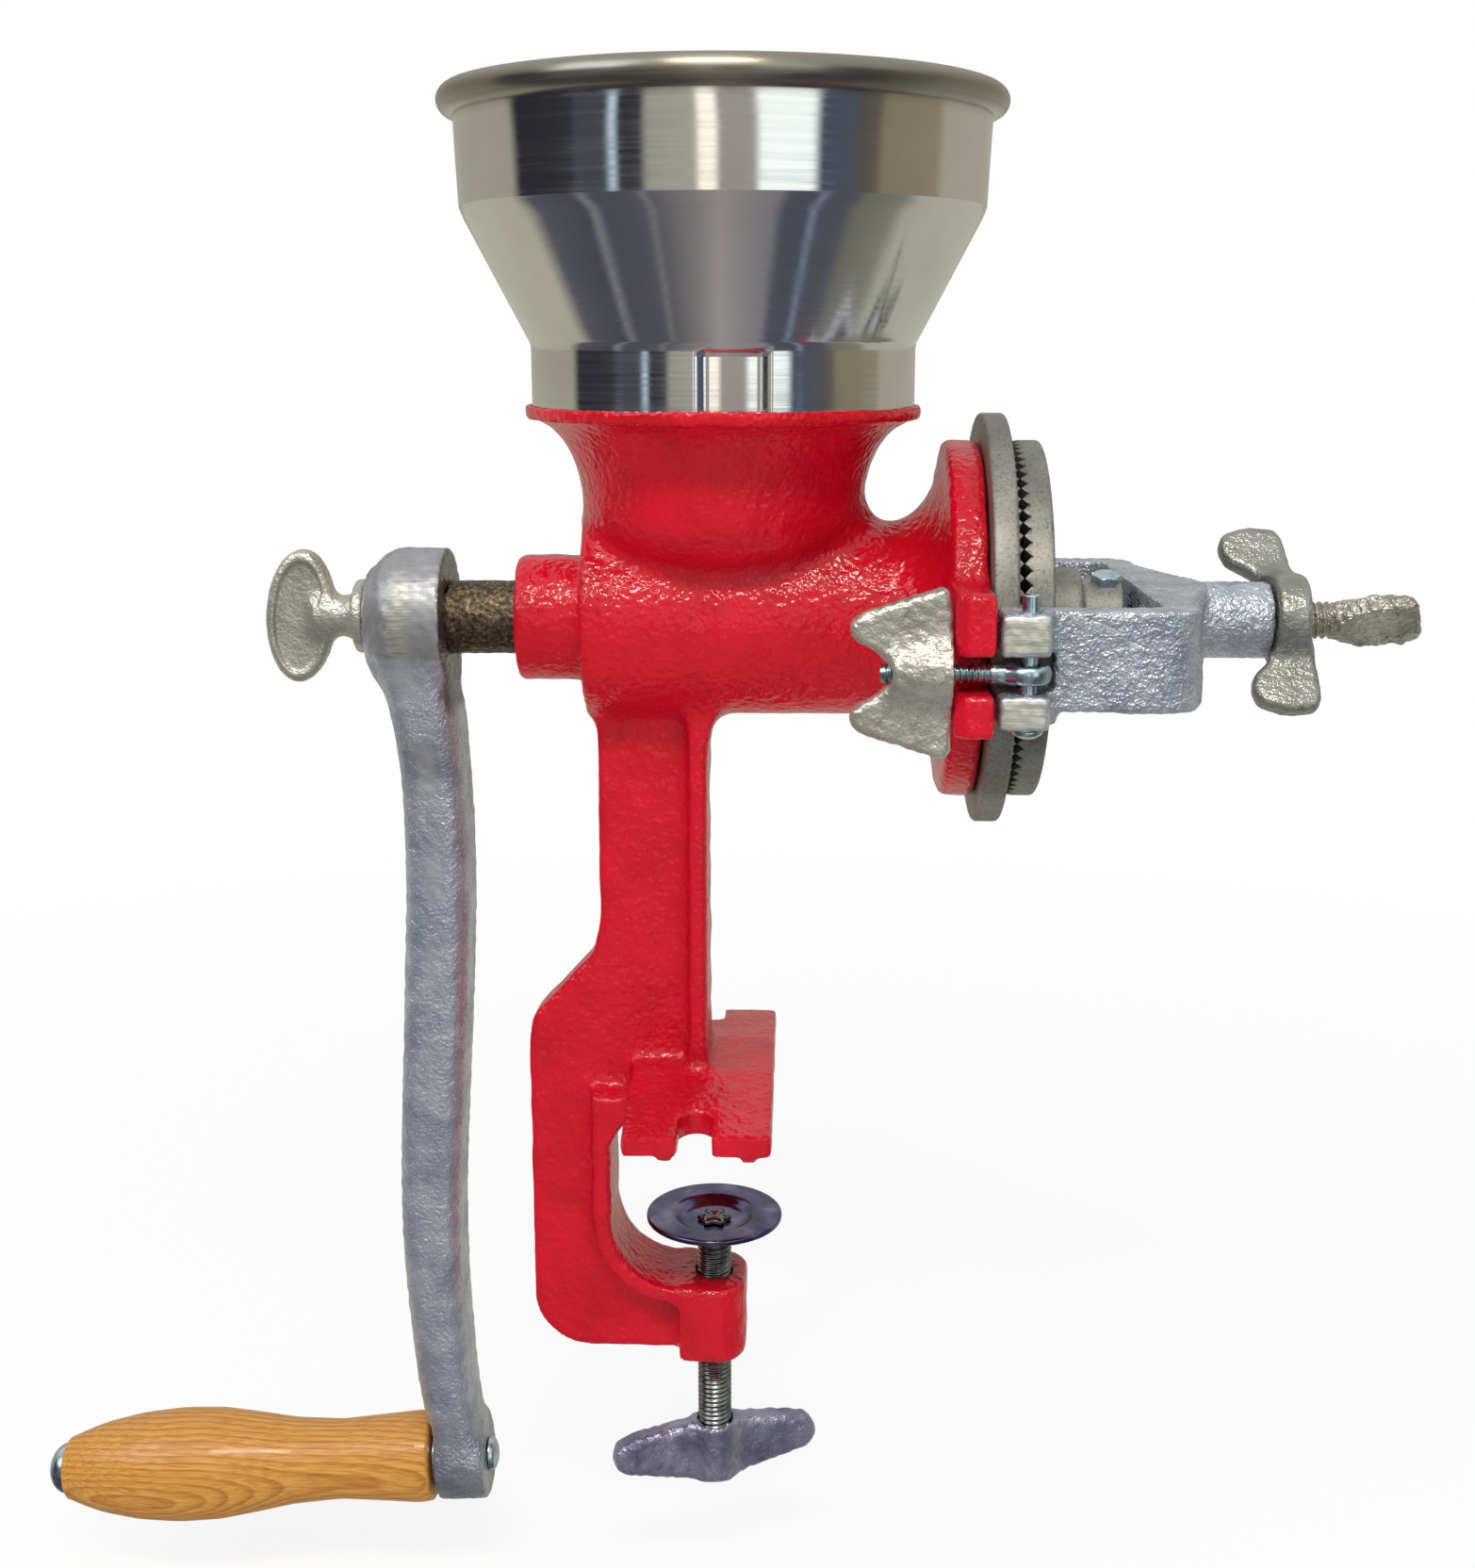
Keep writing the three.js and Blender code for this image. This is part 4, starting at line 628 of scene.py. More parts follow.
def castStand(x, y, z):
    # The web, the ribs, the jaw's boss and the foot, each an outline given thickness, with a slot in from
    # each side of the foot.
    s = standSize
    corner, centre = s["outerCorner"], (s["spineInner"] + s["innerCorner"], s["jawTop"] + s["innerCorner"])
    web = np.concatenate([
        [(s["pillarLeft"], -12), (s["pillarLeft"], -84), (s["pillarLeft"] - 2, -93),
         (s["pillarLeft"] - 7, -98.5), (s["spineLeft"] + 5, -107.5), (s["spineLeft"] + 1.2, -112),
         (s["spineLeft"], -118)],
        arc(s["spineLeft"] + corner, s["jawBottom"] + corner, corner, 180, 270),
        [(-4, s["jawBottom"]), (-4, s["jawTop"] - 3)],
        arc(*centre, s["innerCorner"] + 3, 270, 180),
        [
            (s["spineInner"] - 3, s["footUnder"] + 3), (s["pillarRight"] - 3, s["footUnder"] + 3),
            (s["pillarRight"] - 3, -12),
        ],
    ])
    web = softened(web, 3, loop=True)
    across = np.abs(y)
    stand = slab(web, x, z, y, -s["webHalf"], s["webHalf"], 1.2)
    edge = s["pillarRight"] + s["flare"] * np.clip((z + 42) / 17, 0, 1) ** 2
    width = edge - s["pillarRight"] + s["rib"]
    pillar = crossed(np.abs(x - edge + width / 2) - width / 2, across - s["ribHalf"], 1.4)
    pillar = np.maximum(pillar, np.abs(z + 68) - 58)
    gusset = [(13, 1.5), (9.1, -2.75), (3.25, -7.7), (0, -13.2)]
    inside = np.concatenate([
        gusset + np.array([s["spineInner"], s["footUnder"]]), arc(*centre, s["innerCorner"], 180, 270),
        [(-6, s["jawTop"])],
    ])
    outside = np.concatenate([
        [(-6, s["jawTop"] - s["rib"])], arc(*centre, s["innerCorner"] + s["rib"], 270, 180),
        [(s["spineInner"] - s["rib"], s["footUnder"] + 1.5)],
    ])
    clampRib = slab(np.concatenate([inside, outside]), x, z, y, -s["ribHalf"], s["ribHalf"], 1.4)
    boss = np.concatenate([
        [(s["bossLeft"], -s["ribHalf"])], arc(s["jawEnd"] - 8, 8 - s["ribHalf"], 8, -90, 0),
        arc(s["jawEnd"] - 8, s["ribHalf"] - 8, 8, 0, 90), [(s["bossLeft"], s["ribHalf"])],
    ])
    jaw = slab(boss, x, y, z, s["bossBottom"], s["jawTop"], 2.4)
    footSection = [
        (-s["footHalf"], s["footUnder"]), (s["footHalf"], s["footUnder"]), (s["footHalf"], s["footEdge"]),
        (s["ribHalf"], s["footTop"]), (-s["ribHalf"], s["footTop"]), (-s["footHalf"], s["footEdge"]),
    ]
    foot = slab(footSection, y, z, x, s["footLeft"], s["footRight"], 1.0)
    for middle in (-s["ridgeX"], s["ridgeX"]):
        ridge = [
            (middle - 2.9, s["footUnder"] + 1.5), (middle - 1.9, s["footBottom"]),
            (middle + 1.9, s["footBottom"]), (middle + 2.9, s["footUnder"] + 1.5),
        ]
        foot = blended(foot, slab(ridge, x, z, y, 1 - s["footHalf"], s["footHalf"] - 1, 0.5), 0.8)
    stand = blended(stand, pillar, 4.5)
    stand = blended(stand, clampRib, 4.5)
    stand = blended(stand, jaw, 3)
    stand = blended(stand, foot, 4.5)
    middle, half, back = s["slotX"], s["slotHalf"], s["footHalf"] - s["slotLength"]
    slot = np.concatenate([arc(middle, back, half, 180, 360), [(middle + half, 60), (middle - half, 60)]])
    return hollowed(stand, slab(slot, x, across, z, -140, -118, 0.1), 0.8)


def castBody():
    # Barrel, throat and stand with fillets of fillet millimetres, wider towards the flange, then hollowed for
    # the worm, the nuts and the screws.
    s = bodySize
    space = gridSpace((-54, -69, -216), (73, 69, 59), s["cube"])
    x, y, z = space
    fromShaft, fromHopper = np.hypot(y, z), np.hypot(x - s["hopperX"], y)
    rise = np.linspace(0, np.pi / 2, 14)
    bell = np.stack([
        s["bellStart"] + (s["flangeBack"] - s["bellStart"]) * 0.92 * np.sin(rise),
        s["barrelRadius"] + (s["flangeRadius"] - s["barrelRadius"] - 1) * 0.97 * (1 - np.cos(rise)),
    ], 1)
    barrel = softened(np.concatenate([
        [(s["snoutEnd"], 0), (s["snoutEnd"], s["snoutRadius"]), (s["barrelEnd"], s["snoutRadius"]),
         (s["barrelEnd"], s["barrelRadius"])],
        bell,
        [
            (s["flangeBack"], s["flangeRadius"]), (s["flangeFront"], s["flangeRadius"]),
            (s["flangeFront"], 0),
        ],
    ]), 1.6)
    sweep = np.radians(np.linspace(90, 180, 14))
    cove = np.stack([
        s["throatHeight"] + (s["lipBottom"] - 0.5 - s["throatHeight"]) * np.sin(sweep),
        s["throatRadius"] + (s["lipRadius"] - 0.5 - s["throatRadius"]) * (1 + np.cos(sweep)),
    ], 1)
    turn = np.radians(np.linspace(0, -90, 10))
    bowlHeight = s["throatHeight"] + s["throatDrop"] * np.sin(turn)
    bowl = np.stack([bowlHeight, s["throatRadius"] * np.cos(turn)], 1)
    throat = softened(np.concatenate([
        [(s["lipTop"], 0), (s["lipTop"], s["lipRadius"]), (s["lipBottom"], s["lipRadius"])], cove, bowl,
    ]), 0.9)
    saddle = s["fillet"] + (s["saddle"] - s["fillet"]) * np.clip((x - 25) / 15, 0, 1)
    field = blended(turnedField(barrel, x, fromShaft), turnedField(throat, z, fromHopper), saddle)
    field = blended(field, castStand(x, y, z), s["fillet"])
    left, right, inner, outer = s["earLeft"], s["flangeFront"], s["earInner"], s["earOuter"]
    ear = [(left, inner), (right, inner), (right, outer), (left + 3, outer), (left, outer - 3)]
    for bottom, top in ((splitSize["top"], s["earTop"]), (s["earBottom"], splitSize["bottom"])):
        field = blended(field, slab(ear, x, np.abs(y), z, bottom, top, 1.2), 2.5)
    chamber = s["chamberRadius"]
    hollow = [(-29, 0), (-29, chamber - 2), (-27, chamber), (72, chamber), (72, 0)]
    field = hollowed(field, turnedField(hollow, x, fromShaft), 1)
    well = [
        (58, 0), (58, 50), (52.9, 50), (52.9, 46), (47, 36), (38, 33), (30, 31), (24, 27), (19, 20.5),
        (14, 16), (6.75, 15), (6.75, 0),
    ]
    field = hollowed(field, turnedField(well, z, fromHopper), 0.8)
    field = hollowed(field, rod(s["shaftBore"], fromShaft, x, -60, -20), 0.8)
    field = hollowed(field, rod(s["clampBore"], np.hypot(x, y), z, -220, -185), 0.8)
    for height in (-s["screwHeight"], s["screwHeight"]):
        hole = rod(s["screwBore"], np.hypot(y, z - height), x, s["screwHole"], 75)
        field = hollowed(field, hole, 0.4)
    surface = relaxed(surfaceOf(field, space), 1)
    return roughened(roughened(surface, 6, s["lumps"], 3), 14, s["lumps"] * 1.6, 4)


makePiece("enamelled_body", castBody(), redEnamel, "base", ["body_casting"])

# Hopper

hopperSize = {
    "axis": (3.0, 0.0, 0.0), "steps": 288, "foot": 53.2, "collar": 49.7, "collarTop": 71.4,
    "coneTop": 102.8, "bowl": 67.0, "rim": 68.4, "beadHeight": 130.4, "bead": 3.6, "wall": 1.2,
    "dimpleTurn": -85.0, "dimpleHalf": 8.0, "dimpleLow": 52.0, "dimpleHigh": 70.0, "dimpleDepth": 1.7,
    "wobble": 0.12, "waves": 7,
}


def ease(value):
    # The smooth step 3 v^2 - 2 v^3 of a value held between 0 and 1.
    return np.clip(value, 0, 1) ** 2 * (3 - 2 * np.clip(value, 0, 1))


def spinHopper():
    # One profile up the outside, round the bead and down the inside, carried round Z; the dimple takes depth
    # off the radius, and the rim wobbles by a sine of a few waves a turn.
    s = hopperSize
    outside = [(s["foot"], s["collar"]), (s["collarTop"], s["collar"]),
               (s["collarTop"] + 1.4, s["collar"] + 0.8), (s["coneTop"], s["bowl"] - 0.8),
               (s["coneTop"] + 2.2, s["bowl"])]
    bead = arc(s["beadHeight"], s["rim"], s["bead"], 187, -90, 22)
    inside = [(s["beadHeight"] - 3, s["rim"] - s["bead"] + 1.6)] + [
        (height, radius - s["wall"]) for height, radius in reversed(outside)
    ]
    ring = np.concatenate([softened(outside, 2.2), bead, softened(inside, 2.2)])
    ring = spaced(np.concatenate([ring, ring[:1]]), 1.4)[:-1]
    along, radius = ring[:, :1], ring[:, 1:]
    angle = np.linspace(0, 2 * np.pi, s["steps"], endpoint=False)
    offset = (angle - math.radians(s["dimpleTurn"]) + np.pi) % (2 * np.pi) - np.pi
    across = ease((s["dimpleHalf"] + 0.8 - np.abs(offset) * s["collar"]) / 1.6)
    upright = ease((s["dimpleHigh"] + 0.8 - along) / 1.6) * ease((along - s["dimpleLow"]) / 0.6)
    pressed = radius - s["dimpleDepth"] * across * upright
    wobble = s["wobble"] * np.sin(s["waves"] * angle + 1) * ease((along - 118) / 10)
    surface = skin(turnedGrid(along, pressed + wobble, angle, "z", s["axis"]), True)
    return surface, {"rim": ease((surface[0][:, 2] - 125) / 3)}


hopperSurface, hopperMarks = spinHopper()
makePiece(
    "spun_hopper", hopperSurface, brightAluminium, "hopper", ["hopper"],
    hopperMarks, crease=60,
)

# Shaft with its feed worm

crossSize = {"x": 104.0, "turn": 15.0, "flats": 7.0, "radius": 2.0, "hole": 2.3, "seat": 9.9}
wormSize = {
    "cube": 0.6, "radius": 9.75, "left": -86.0, "stubStart": 66.0, "stub": 8.0, "end": 107.7,
    "flightStart": -26.0, "flightEnd": 66.0, "flight": 21.0, "pitch": 24.0, "root": 2.3, "tip": 1.2,
    "flatStart": -70.2, "flatHalf": 7.25, "thumbBore": 4.3, "ballBore": 3.8,
}


def castWorm():
    # A shaft, and a flight whose sheet lies where along = start + pitch * turn, thinner towards its tip.
    s = wormSize
    space = gridSpace((-89, -23, -23), (110, 23, 23), s["cube"])
    x, y, z = space
    fromShaft = np.hypot(y, z)
    core = blended(
        rod(s["radius"], fromShaft, x, s["left"], s["stubStart"], 0.8),
        rod(s["stub"], fromShaft, x, 40, s["end"], 0.6), 1.0,
    )
    core = np.maximum(core, np.where(x < s["flatStart"], np.abs(z) - s["flatHalf"], -50))
    turn = np.arctan2(z, y) / (2 * np.pi)
    place = np.mod((x - s["flightStart"]) / s["pitch"] - turn + 0.5, 1) - 0.5
    share = np.clip((fromShaft - s["radius"]) / (s["flight"] - s["radius"]), 0, 1)
    half = s["root"] + (s["tip"] - s["root"]) * share
    ramp = np.minimum((x - s["flightStart"]) / 12, (s["flightEnd"] - x) / 12)
    crest = s["radius"] - 2 + (s["flight"] - s["radius"] + 2) * np.clip(ramp, 0, 1)
    flight = crossed(np.abs(place) * s["pitch"] - half, fromShaft - crest, 0.7)
    middle, reach = (s["flightStart"] + s["flightEnd"]) / 2, (s["flightEnd"] - s["flightStart"]) / 2
    flight = np.maximum(flight, np.abs(x - middle) - reach)
    field = blended(core, flight, 2.5)
    field = hollowed(field, rod(s["thumbBore"], fromShaft, x, -95, -70), 0.4)
    lean = math.radians(crossSize["turn"])
    fromBolt = np.hypot(x - crossSize["x"], y * math.cos(lean) + z * math.sin(lean))
    field = hollowed(field, rod(crossSize["hole"], fromBolt, np.abs(z), -20, 20), 0.3)
    field = hollowed(field, rod(s["ballBore"], fromShaft, x, s["end"] - 2, 112), 0.2)
    return roughened(surfaceOf(field, space), 3, 0.06, 8)


makePiece("worm_and_shaft", castWorm(), rawIron, "shaft", ["worm_shaft"])

# Grinding discs

discSize = {
    "teeth": 80, "columns": 640, "toothHeight": 1.7, "toothInner": 27.0, "toothOuter": 46.7, "rim": 47.0,
    "fixedBack": 69.7, "fixedFace": 76.0, "fixedRadius": 54.0, "bore": 22.0, "turningFace": 79.7,
    "turningBack": 85.4, "hub": 13.8, "neckX": 97.2, "neck": 11.0, "hubEnd": 108.0, "shaftHole": 8.3,
}


def toothedDisc(rings, sign):
    # Rings of (along, radius, tooth share) round X; a tooth adds share * height * (1 - |2 frac(n turn) - 1|),
    # a V ridge, for n teeth and a turn from 0 to 1.
    s = discSize
    along, radius, share = (np.asarray(rings, float)[:, k : k + 1] for k in range(3))
    angle = np.linspace(0, 2 * np.pi, s["columns"], endpoint=False)
    ridge = 1 - np.abs(2 * np.mod(s["teeth"] * angle / (2 * np.pi), 1) - 1)
    return skin(turnedGrid(along + sign * share * s["toothHeight"] * ridge, radius, angle), True)


def castFixedDisc():
    # The toothed face from the rim inwards, then round the bore, the back and the edge to the rim again.
    s = discSize
    teeth = [(s["fixedFace"], s["rim"] + 0.05, 0), (s["fixedFace"], s["toothOuter"], 1),
             (s["fixedFace"], 40, 0.85), (s["fixedFace"], 33, 0.5), (s["fixedFace"], s["toothInner"], 0),
             (s["fixedFace"], s["bore"] + 0.8, 0)]
    edge = softened([
        (s["fixedFace"] - 1, s["bore"]), (s["fixedBack"], s["bore"]), (s["fixedBack"], s["fixedRadius"]),
        (s["fixedFace"], s["fixedRadius"]), (s["fixedFace"], s["rim"] + 0.6),
    ], 0.9, 3)
    rings = np.concatenate([np.c_[edge, np.zeros(len(edge))], teeth])
    return toothedDisc(rings, 1)


def castTurningDisc():
    # The toothed face from the bore outwards, then over the edge, the back, the hub and the neck to the bore.
    s = discSize
    teeth = [(s["turningFace"], s["shaftHole"] + 0.6, 0), (s["turningFace"], s["toothInner"], 0),
             (s["turningFace"], 33, 0.5), (s["turningFace"], 40, 0.85),
             (s["turningFace"], s["toothOuter"], 1)]
    edge = softened([
        (s["turningFace"] + 0.3, s["rim"]), (s["turningBack"], s["rim"]), (s["turningBack"], s["hub"]),
        (s["neckX"], s["hub"]), (s["neckX"], s["neck"]), (s["hubEnd"], s["neck"]),
        (s["hubEnd"], s["shaftHole"]), (s["turningFace"] + 0.6, s["shaftHole"]),
    ], (0.3, 1.0, 2.2, 1.6, 1.2, 0.9, 0.6, 0.3), 4)
    rings = np.concatenate([teeth, np.c_[edge, np.zeros(len(edge))]])
    return toothedDisc(rings, -1)


makePiece("toothed_fixed_disc", castFixedDisc(), greyIron, "base", ["fixed_disc"])
makePiece("toothed_turning_disc", castTurningDisc(), greyIron, "shaft", ["turning_disc"])

# Screws and bolts

def hexagonal(flats, low, high, dome=0.8, centre=(0, 0, 0), steps=72):
    # A six-sided prism about Z: the radius is the lesser of flats / (2 cos of the turn from a flat's
    # middle) and a domed chamfer.
    angle = np.linspace(0, 2 * np.pi, steps, endpoint=False)
    side = flats / 2 / np.cos((angle % (np.pi / 3)) - np.pi / 6)
    wide = flats / 2 * 1.18
    profile = softened([(low, 0), (low, wide - dome), (low + dome * 0.4, wide), (high - dome * 0.4, wide),
                        (high, wide - dome), (high, 0)], 0.25, 3)
    return skin(turnedGrid(profile[:, :1], np.minimum(profile[:, 1:], side), angle, "z", centre))


def tilted(surface, degrees, centre):
    # Turns a surface about an axis along X through a centre.
    points, triangles = surface
    turn = math.radians(degrees)
    rotation = np.array([
        [1, 0, 0], [0, math.cos(turn), -math.sin(turn)], [0, math.sin(turn), math.cos(turn)]
    ])
    return points @ rotation.T + np.asarray(centre, float), triangles


seat, shank = crossSize["seat"], crossSize["radius"]
shankProfile = softened([(-14.3, 0), (-14.3, shank), (seat + 0.6, shank), (seat + 0.6, 0)], 0.3)
crossBolt = combined([hexagonal(crossSize["flats"], seat, seat + 3), turned(shankProfile, 32, "z")])
nutHole = turned([(-14, 0), (-14, crossSize["hole"]), (-9, crossSize["hole"]), (-9, 0)], 32, "z")
crossNut = combined([hexagonal(crossSize["flats"], -seat - 3.2, -seat), nutHole], "DIFFERENCE")
for name, surface, node in (
    ("cross_bolt_head", crossBolt, "cross_bolt"), ("cross_bolt_nut", crossNut, "cross_nut"),
):
    placed = tilted(surface, crossSize["turn"], (crossSize["x"], 0, 0))
    makePiece(name, placed, zincPlate, "shaft", [node])

discScrewSize = {"end": 64.6, "radius": 2.4, "underHead": 72.9, "head": 4.4, "top": 75.5}


def turnDiscScrew(height):
    # A plain shank and a flat round head, carried round a line along X at this height.
    s = discScrewSize
    profile = softened([
        (s["end"], 0), (s["end"], s["radius"]), (s["underHead"], s["radius"]), (s["underHead"], s["head"]),
        (s["top"], s["head"]), (s["top"], 0),
    ], 0.3)
    return turned(profile, 48, "x", (0, 0, height))


for name, node, side in (
    ("disc_screw_top", "disc_screw_upper", 1), ("disc_screw_bottom", "disc_screw_lower", -1),
):
    screw = turnDiscScrew(side * bodySize["screwHeight"])
    makePiece(name, screw, zincPlate, "base", [node])

ballSize = {"x": 109.5, "radius": 3.5}
thrustBall = turned(arc(ballSize["x"], 0, ballSize["radius"], 180, 0, 32), 48)
makePiece("thrust_ball_bearing", thrustBall, zincPlate, "thrust", ["thrust_ball"])

# Yoke

boltSize = {
    "pinX": 77.6, "pinY": 60.5, "pin": 2.15, "drop": -4.5, "radius": 2.5, "end": 42.4, "pitch": 1.4,
    "depth": 0.5, "start": 72.2, "eye": 3.9, "eyeSide": 1.5, "eyeHigh": 2.4, "eyeBore": 2.3,
}
yokeSize = {
    "cube": 0.65, "left": 70.4, "right": 82.3, "armInner": 49.5, "armOuter": 58.0, "lugOuter": 66.5,
    "top": 10.0, "bottom": -14.4, "corner": 8.5, "windowCorner": 5.0, "bridgeInner": 111.0,
    "bridgeOuter": 119.5, "noseRadius": 10.1, "noseEnd": 147.5, "noseRoot": 127.5, "lugTop": 10.3,
    "lugBottom": -17.5, "discRoom": 54.9, "discRoomEnd": 78.1, "bore": 5.35,
}


def castYoke():
    # An outline with a window, given height, joined with the nose and the lugs, then drilled and slotted;
    # gives the surface, and the mark of the lug ends that the belt has ground.
    s = yokeSize
    space = gridSpace((68.5, -69, -20), (150, 69, 13), s["cube"])
    x, y, z = space
    side = np.abs(y)
    outer = np.concatenate([
        [(s["left"], 0), (s["left"], s["armOuter"])],
        arc(s["bridgeOuter"] - s["corner"], s["armOuter"] - s["corner"], s["corner"], 90, 0),
        [
            (s["bridgeOuter"], 40), (s["noseRoot"], s["noseRadius"] + 2),
            (s["noseRoot"] + 2, s["noseRadius"] - 1), (s["noseRoot"] + 2, 0),
        ],
    ])
    middle = (s["top"] + s["bottom"]) / 2
    height = np.abs(z - middle) - (s["top"] - s["bottom"]) / 2
    frameField = crossed(flatField(softened(outer, 1.5), x, side), height, 1.0)
    ledge = [(100, 20), (121, 30), (121, 49), (117.5, 54.5), (111, 57.2), (100, 57.2)]
    lower = slab(ledge, x, side, z, s["bottom"], -4, 1.6)
    frameField = blended(frameField, lower, 2.0)
    corner = s["windowCorner"]
    window = np.concatenate([
        [(60, -1), (s["bridgeInner"], -1)],
        arc(s["bridgeInner"] - corner, s["armInner"] - corner, corner, 0, 90, 6),
        [(60, s["armInner"])],
    ])
    frameField = hollowed(frameField, flatField(window, x, side) + 0 * z, 1.0)
    fromShaft = np.hypot(y, z)
    nose = rod(s["noseRadius"], fromShaft, x, s["bridgeInner"] + 2, s["noseEnd"], 1.0)
    field = blended(frameField, nose, 1.0)
    for bottom, top in ((splitSize["top"], s["lugTop"]), (s["lugBottom"], splitSize["bottom"])):
        lugOutline = softened([
            (s["left"], s["armInner"] + 4), (s["right"] + 3, s["armInner"] + 4),
            (s["right"] + 3, s["armOuter"] - 1), (s["right"], s["armOuter"] + 2),
            (s["right"], s["lugOuter"]), (s["left"], s["lugOuter"]),
        ], 1.6, loop=True)
        field = blended(field, slab(lugOutline, x, side, z, bottom, top, 1.3), 1.6)
    eyeRoom = [(60, 48), (84, 48), (84, 70), (60, 70)]
    eyeSlot = slab(eyeRoom, x, side, z, splitSize["bottom"], splitSize["top"], 0.1)
    field = hollowed(field, eyeSlot, 0.8)
    field = hollowed(field, rod(s["discRoom"], fromShaft, x, 60, s["discRoomEnd"], 0.1), 0.6)
    fromPin = np.hypot(x - boltSize["pinX"], side - boltSize["pinY"])
    field = hollowed(field, rod(boltSize["pin"] + 0.3, fromPin, z, -25, 20), 0.3)
    field = hollowed(field, rod(s["bore"], fromShaft, x, 105, 155), 0.8)
    surface = roughened(relaxed(surfaceOf(field, space), 1), 2.4, 0.07, 11)
    points, normals = surface[0], normalsOf(*surface)
    onLug = (points[:, 0] < s["right"] + 0.6) & (np.abs(points[:, 1]) > s["armOuter"] + 1)
    facing = np.clip((np.abs(normals[:, 1]) - 0.6) / 0.3, 0, 1)
    return surface, {"ground": np.where(onLug, facing, 0)}


yokeSurface, yokeMarks = castYoke()
makePiece("cast_yoke", yokeSurface, silverPaint, "base", ["yoke"], yokeMarks)

# Hinge pins, swing bolts and their wing nuts

nutSize = {
    "cube": 0.5, "face": 59.4, "length": 24.5, "notch": 45.9, "half": 20.6, "thick": 5.5, "hub": 7.5,
    "bore": 2.8,
}


def turnHingePin(side):
    # A domed head under the lugs and a plain pin up through them.
    s = boltSize
    profile = softened([
        (-20.2, 0), (-20.0, 2.0), (-18.9, 3.7), (-17.8, 3.7), (-17.8, s["pin"]), (14.4, s["pin"]),
        (14.4, 0),
    ], 0.5, 4)
    return turned(profile, 40, "z", (s["pinX"], side * s["pinY"], 0))


def forgeSwingBolt(side):
    # An oval ring for the eye, blended into a short stem, and a threaded rod.
    s = boltSize
    space = gridSpace((66, -8, -4), (85, 8, 4), 0.35)
    x, y, z = space
    around = np.hypot(x - s["pinX"], y)
    ring = (np.hypot((around - s["eye"]) / s["eyeSide"], z / s["eyeHigh"]) - 1) * s["eyeSide"]
    stem = rod(s["radius"] - 0.1, np.hypot(y, z), x, 68, s["pinX"] - s["eye"], 0.4)
    field = hollowed(blended(ring, stem, 1.8), rod(s["eyeBore"], around, z, -9, 9), 0.2)
    eye = relaxed(surfaceOf(field, space), 1)
    thread = threaded(s["radius"], s["end"], s["start"], s["pitch"], s["depth"])
    points, triangles = combined([eye, thread])
    return points + [0, side * s["pinY"], s["drop"]], triangles


def castWingNut(side):
    # The wings are an outline given thickness, with a cone of metal round the bore.
    s = nutSize
    space = gridSpace((s["face"] - s["length"] - 2, -10, -23), (s["face"] + 2, 10, 23), s["cube"])
    x, y, z = space
    left = s["face"] - s["length"]
    upper = [(s["face"], s["half"] - 6), (s["face"] - 1, s["half"] - 0.8), (s["face"] - 2.4, s["half"]),
             (left + 3, s["half"] - 6), (left + 0.6, s["half"] - 8), (left, s["half"] - 10.6),
             (left + 1.6, s["half"] - 13), (left + 6, s["half"] - 15)]
    lower = [(u, -v) for u, v in reversed(upper[3:])]
    lower += [(s["face"] - 1.6, -s["half"] - 0.4), (s["face"] + 0.3, 2 - s["half"])]
    outline = softened(upper + [(s["notch"], 1.5), (s["notch"], -1.5)] + lower, 2.2, loop=True)
    wings = slab(outline, x, z, y, -s["thick"] / 2, s["thick"] / 2, 1.9)
    cone = [
        (s["notch"], 0), (s["notch"], s["hub"] - 2.4), (s["face"] - 6, s["hub"] - 0.8),
        (s["face"], s["hub"]), (s["face"], 0),
    ]
    hub = turnedField(cone, x, np.hypot(y, z))
    field = blended(wings, hub, 5)
    field = np.maximum(field, x - s["face"])
    field = hollowed(field, rod(s["bore"], np.hypot(y, z), x, 20, 70, 0.1), 0.5)
    points, triangles = roughened(relaxed(surfaceOf(field, space), 1), 2.6, 0.08, 21 + side)
    return points + [0, side * boltSize["pinY"], boltSize["drop"]], triangles


for where, side in (("near", -1), ("far", 1)):
    pin, bolt, nut = turnHingePin(side), forgeSwingBolt(side), castWingNut(side)
    makePiece(f"riveted_pin_{where}", pin, zincPlate, "base", [f"hinge_pin_{where}"])
    makePiece(f"eye_bolt_{where}", bolt, zincPlate, f"swing_{where}", [f"swing_bolt_{where}"])
    makePiece(
        f"cast_wing_nut_{where}", nut, warmSilver, f"nut_{where}", [f"wing_nut_{where}"]
    )

# Adjusting screw and its lock nut

adjusterSize = {
    "tip": 113.3, "threadEnd": 166.0, "end": 189.3, "radius": 5.0, "pitch": 1.9, "depth": 0.8, "half": 9.8,
    "thick": 6.0, "turn": 50.0,
}
lockSize = {
    "cube": 0.5, "face": 147.8, "length": 9.0, "hub": 12.3, "tip": 28.6, "sweep": 10.8, "lean": 2.0,
    "turn": 40.0, "thick": 5.5, "nose": 11.5, "bore": 5.3,
}


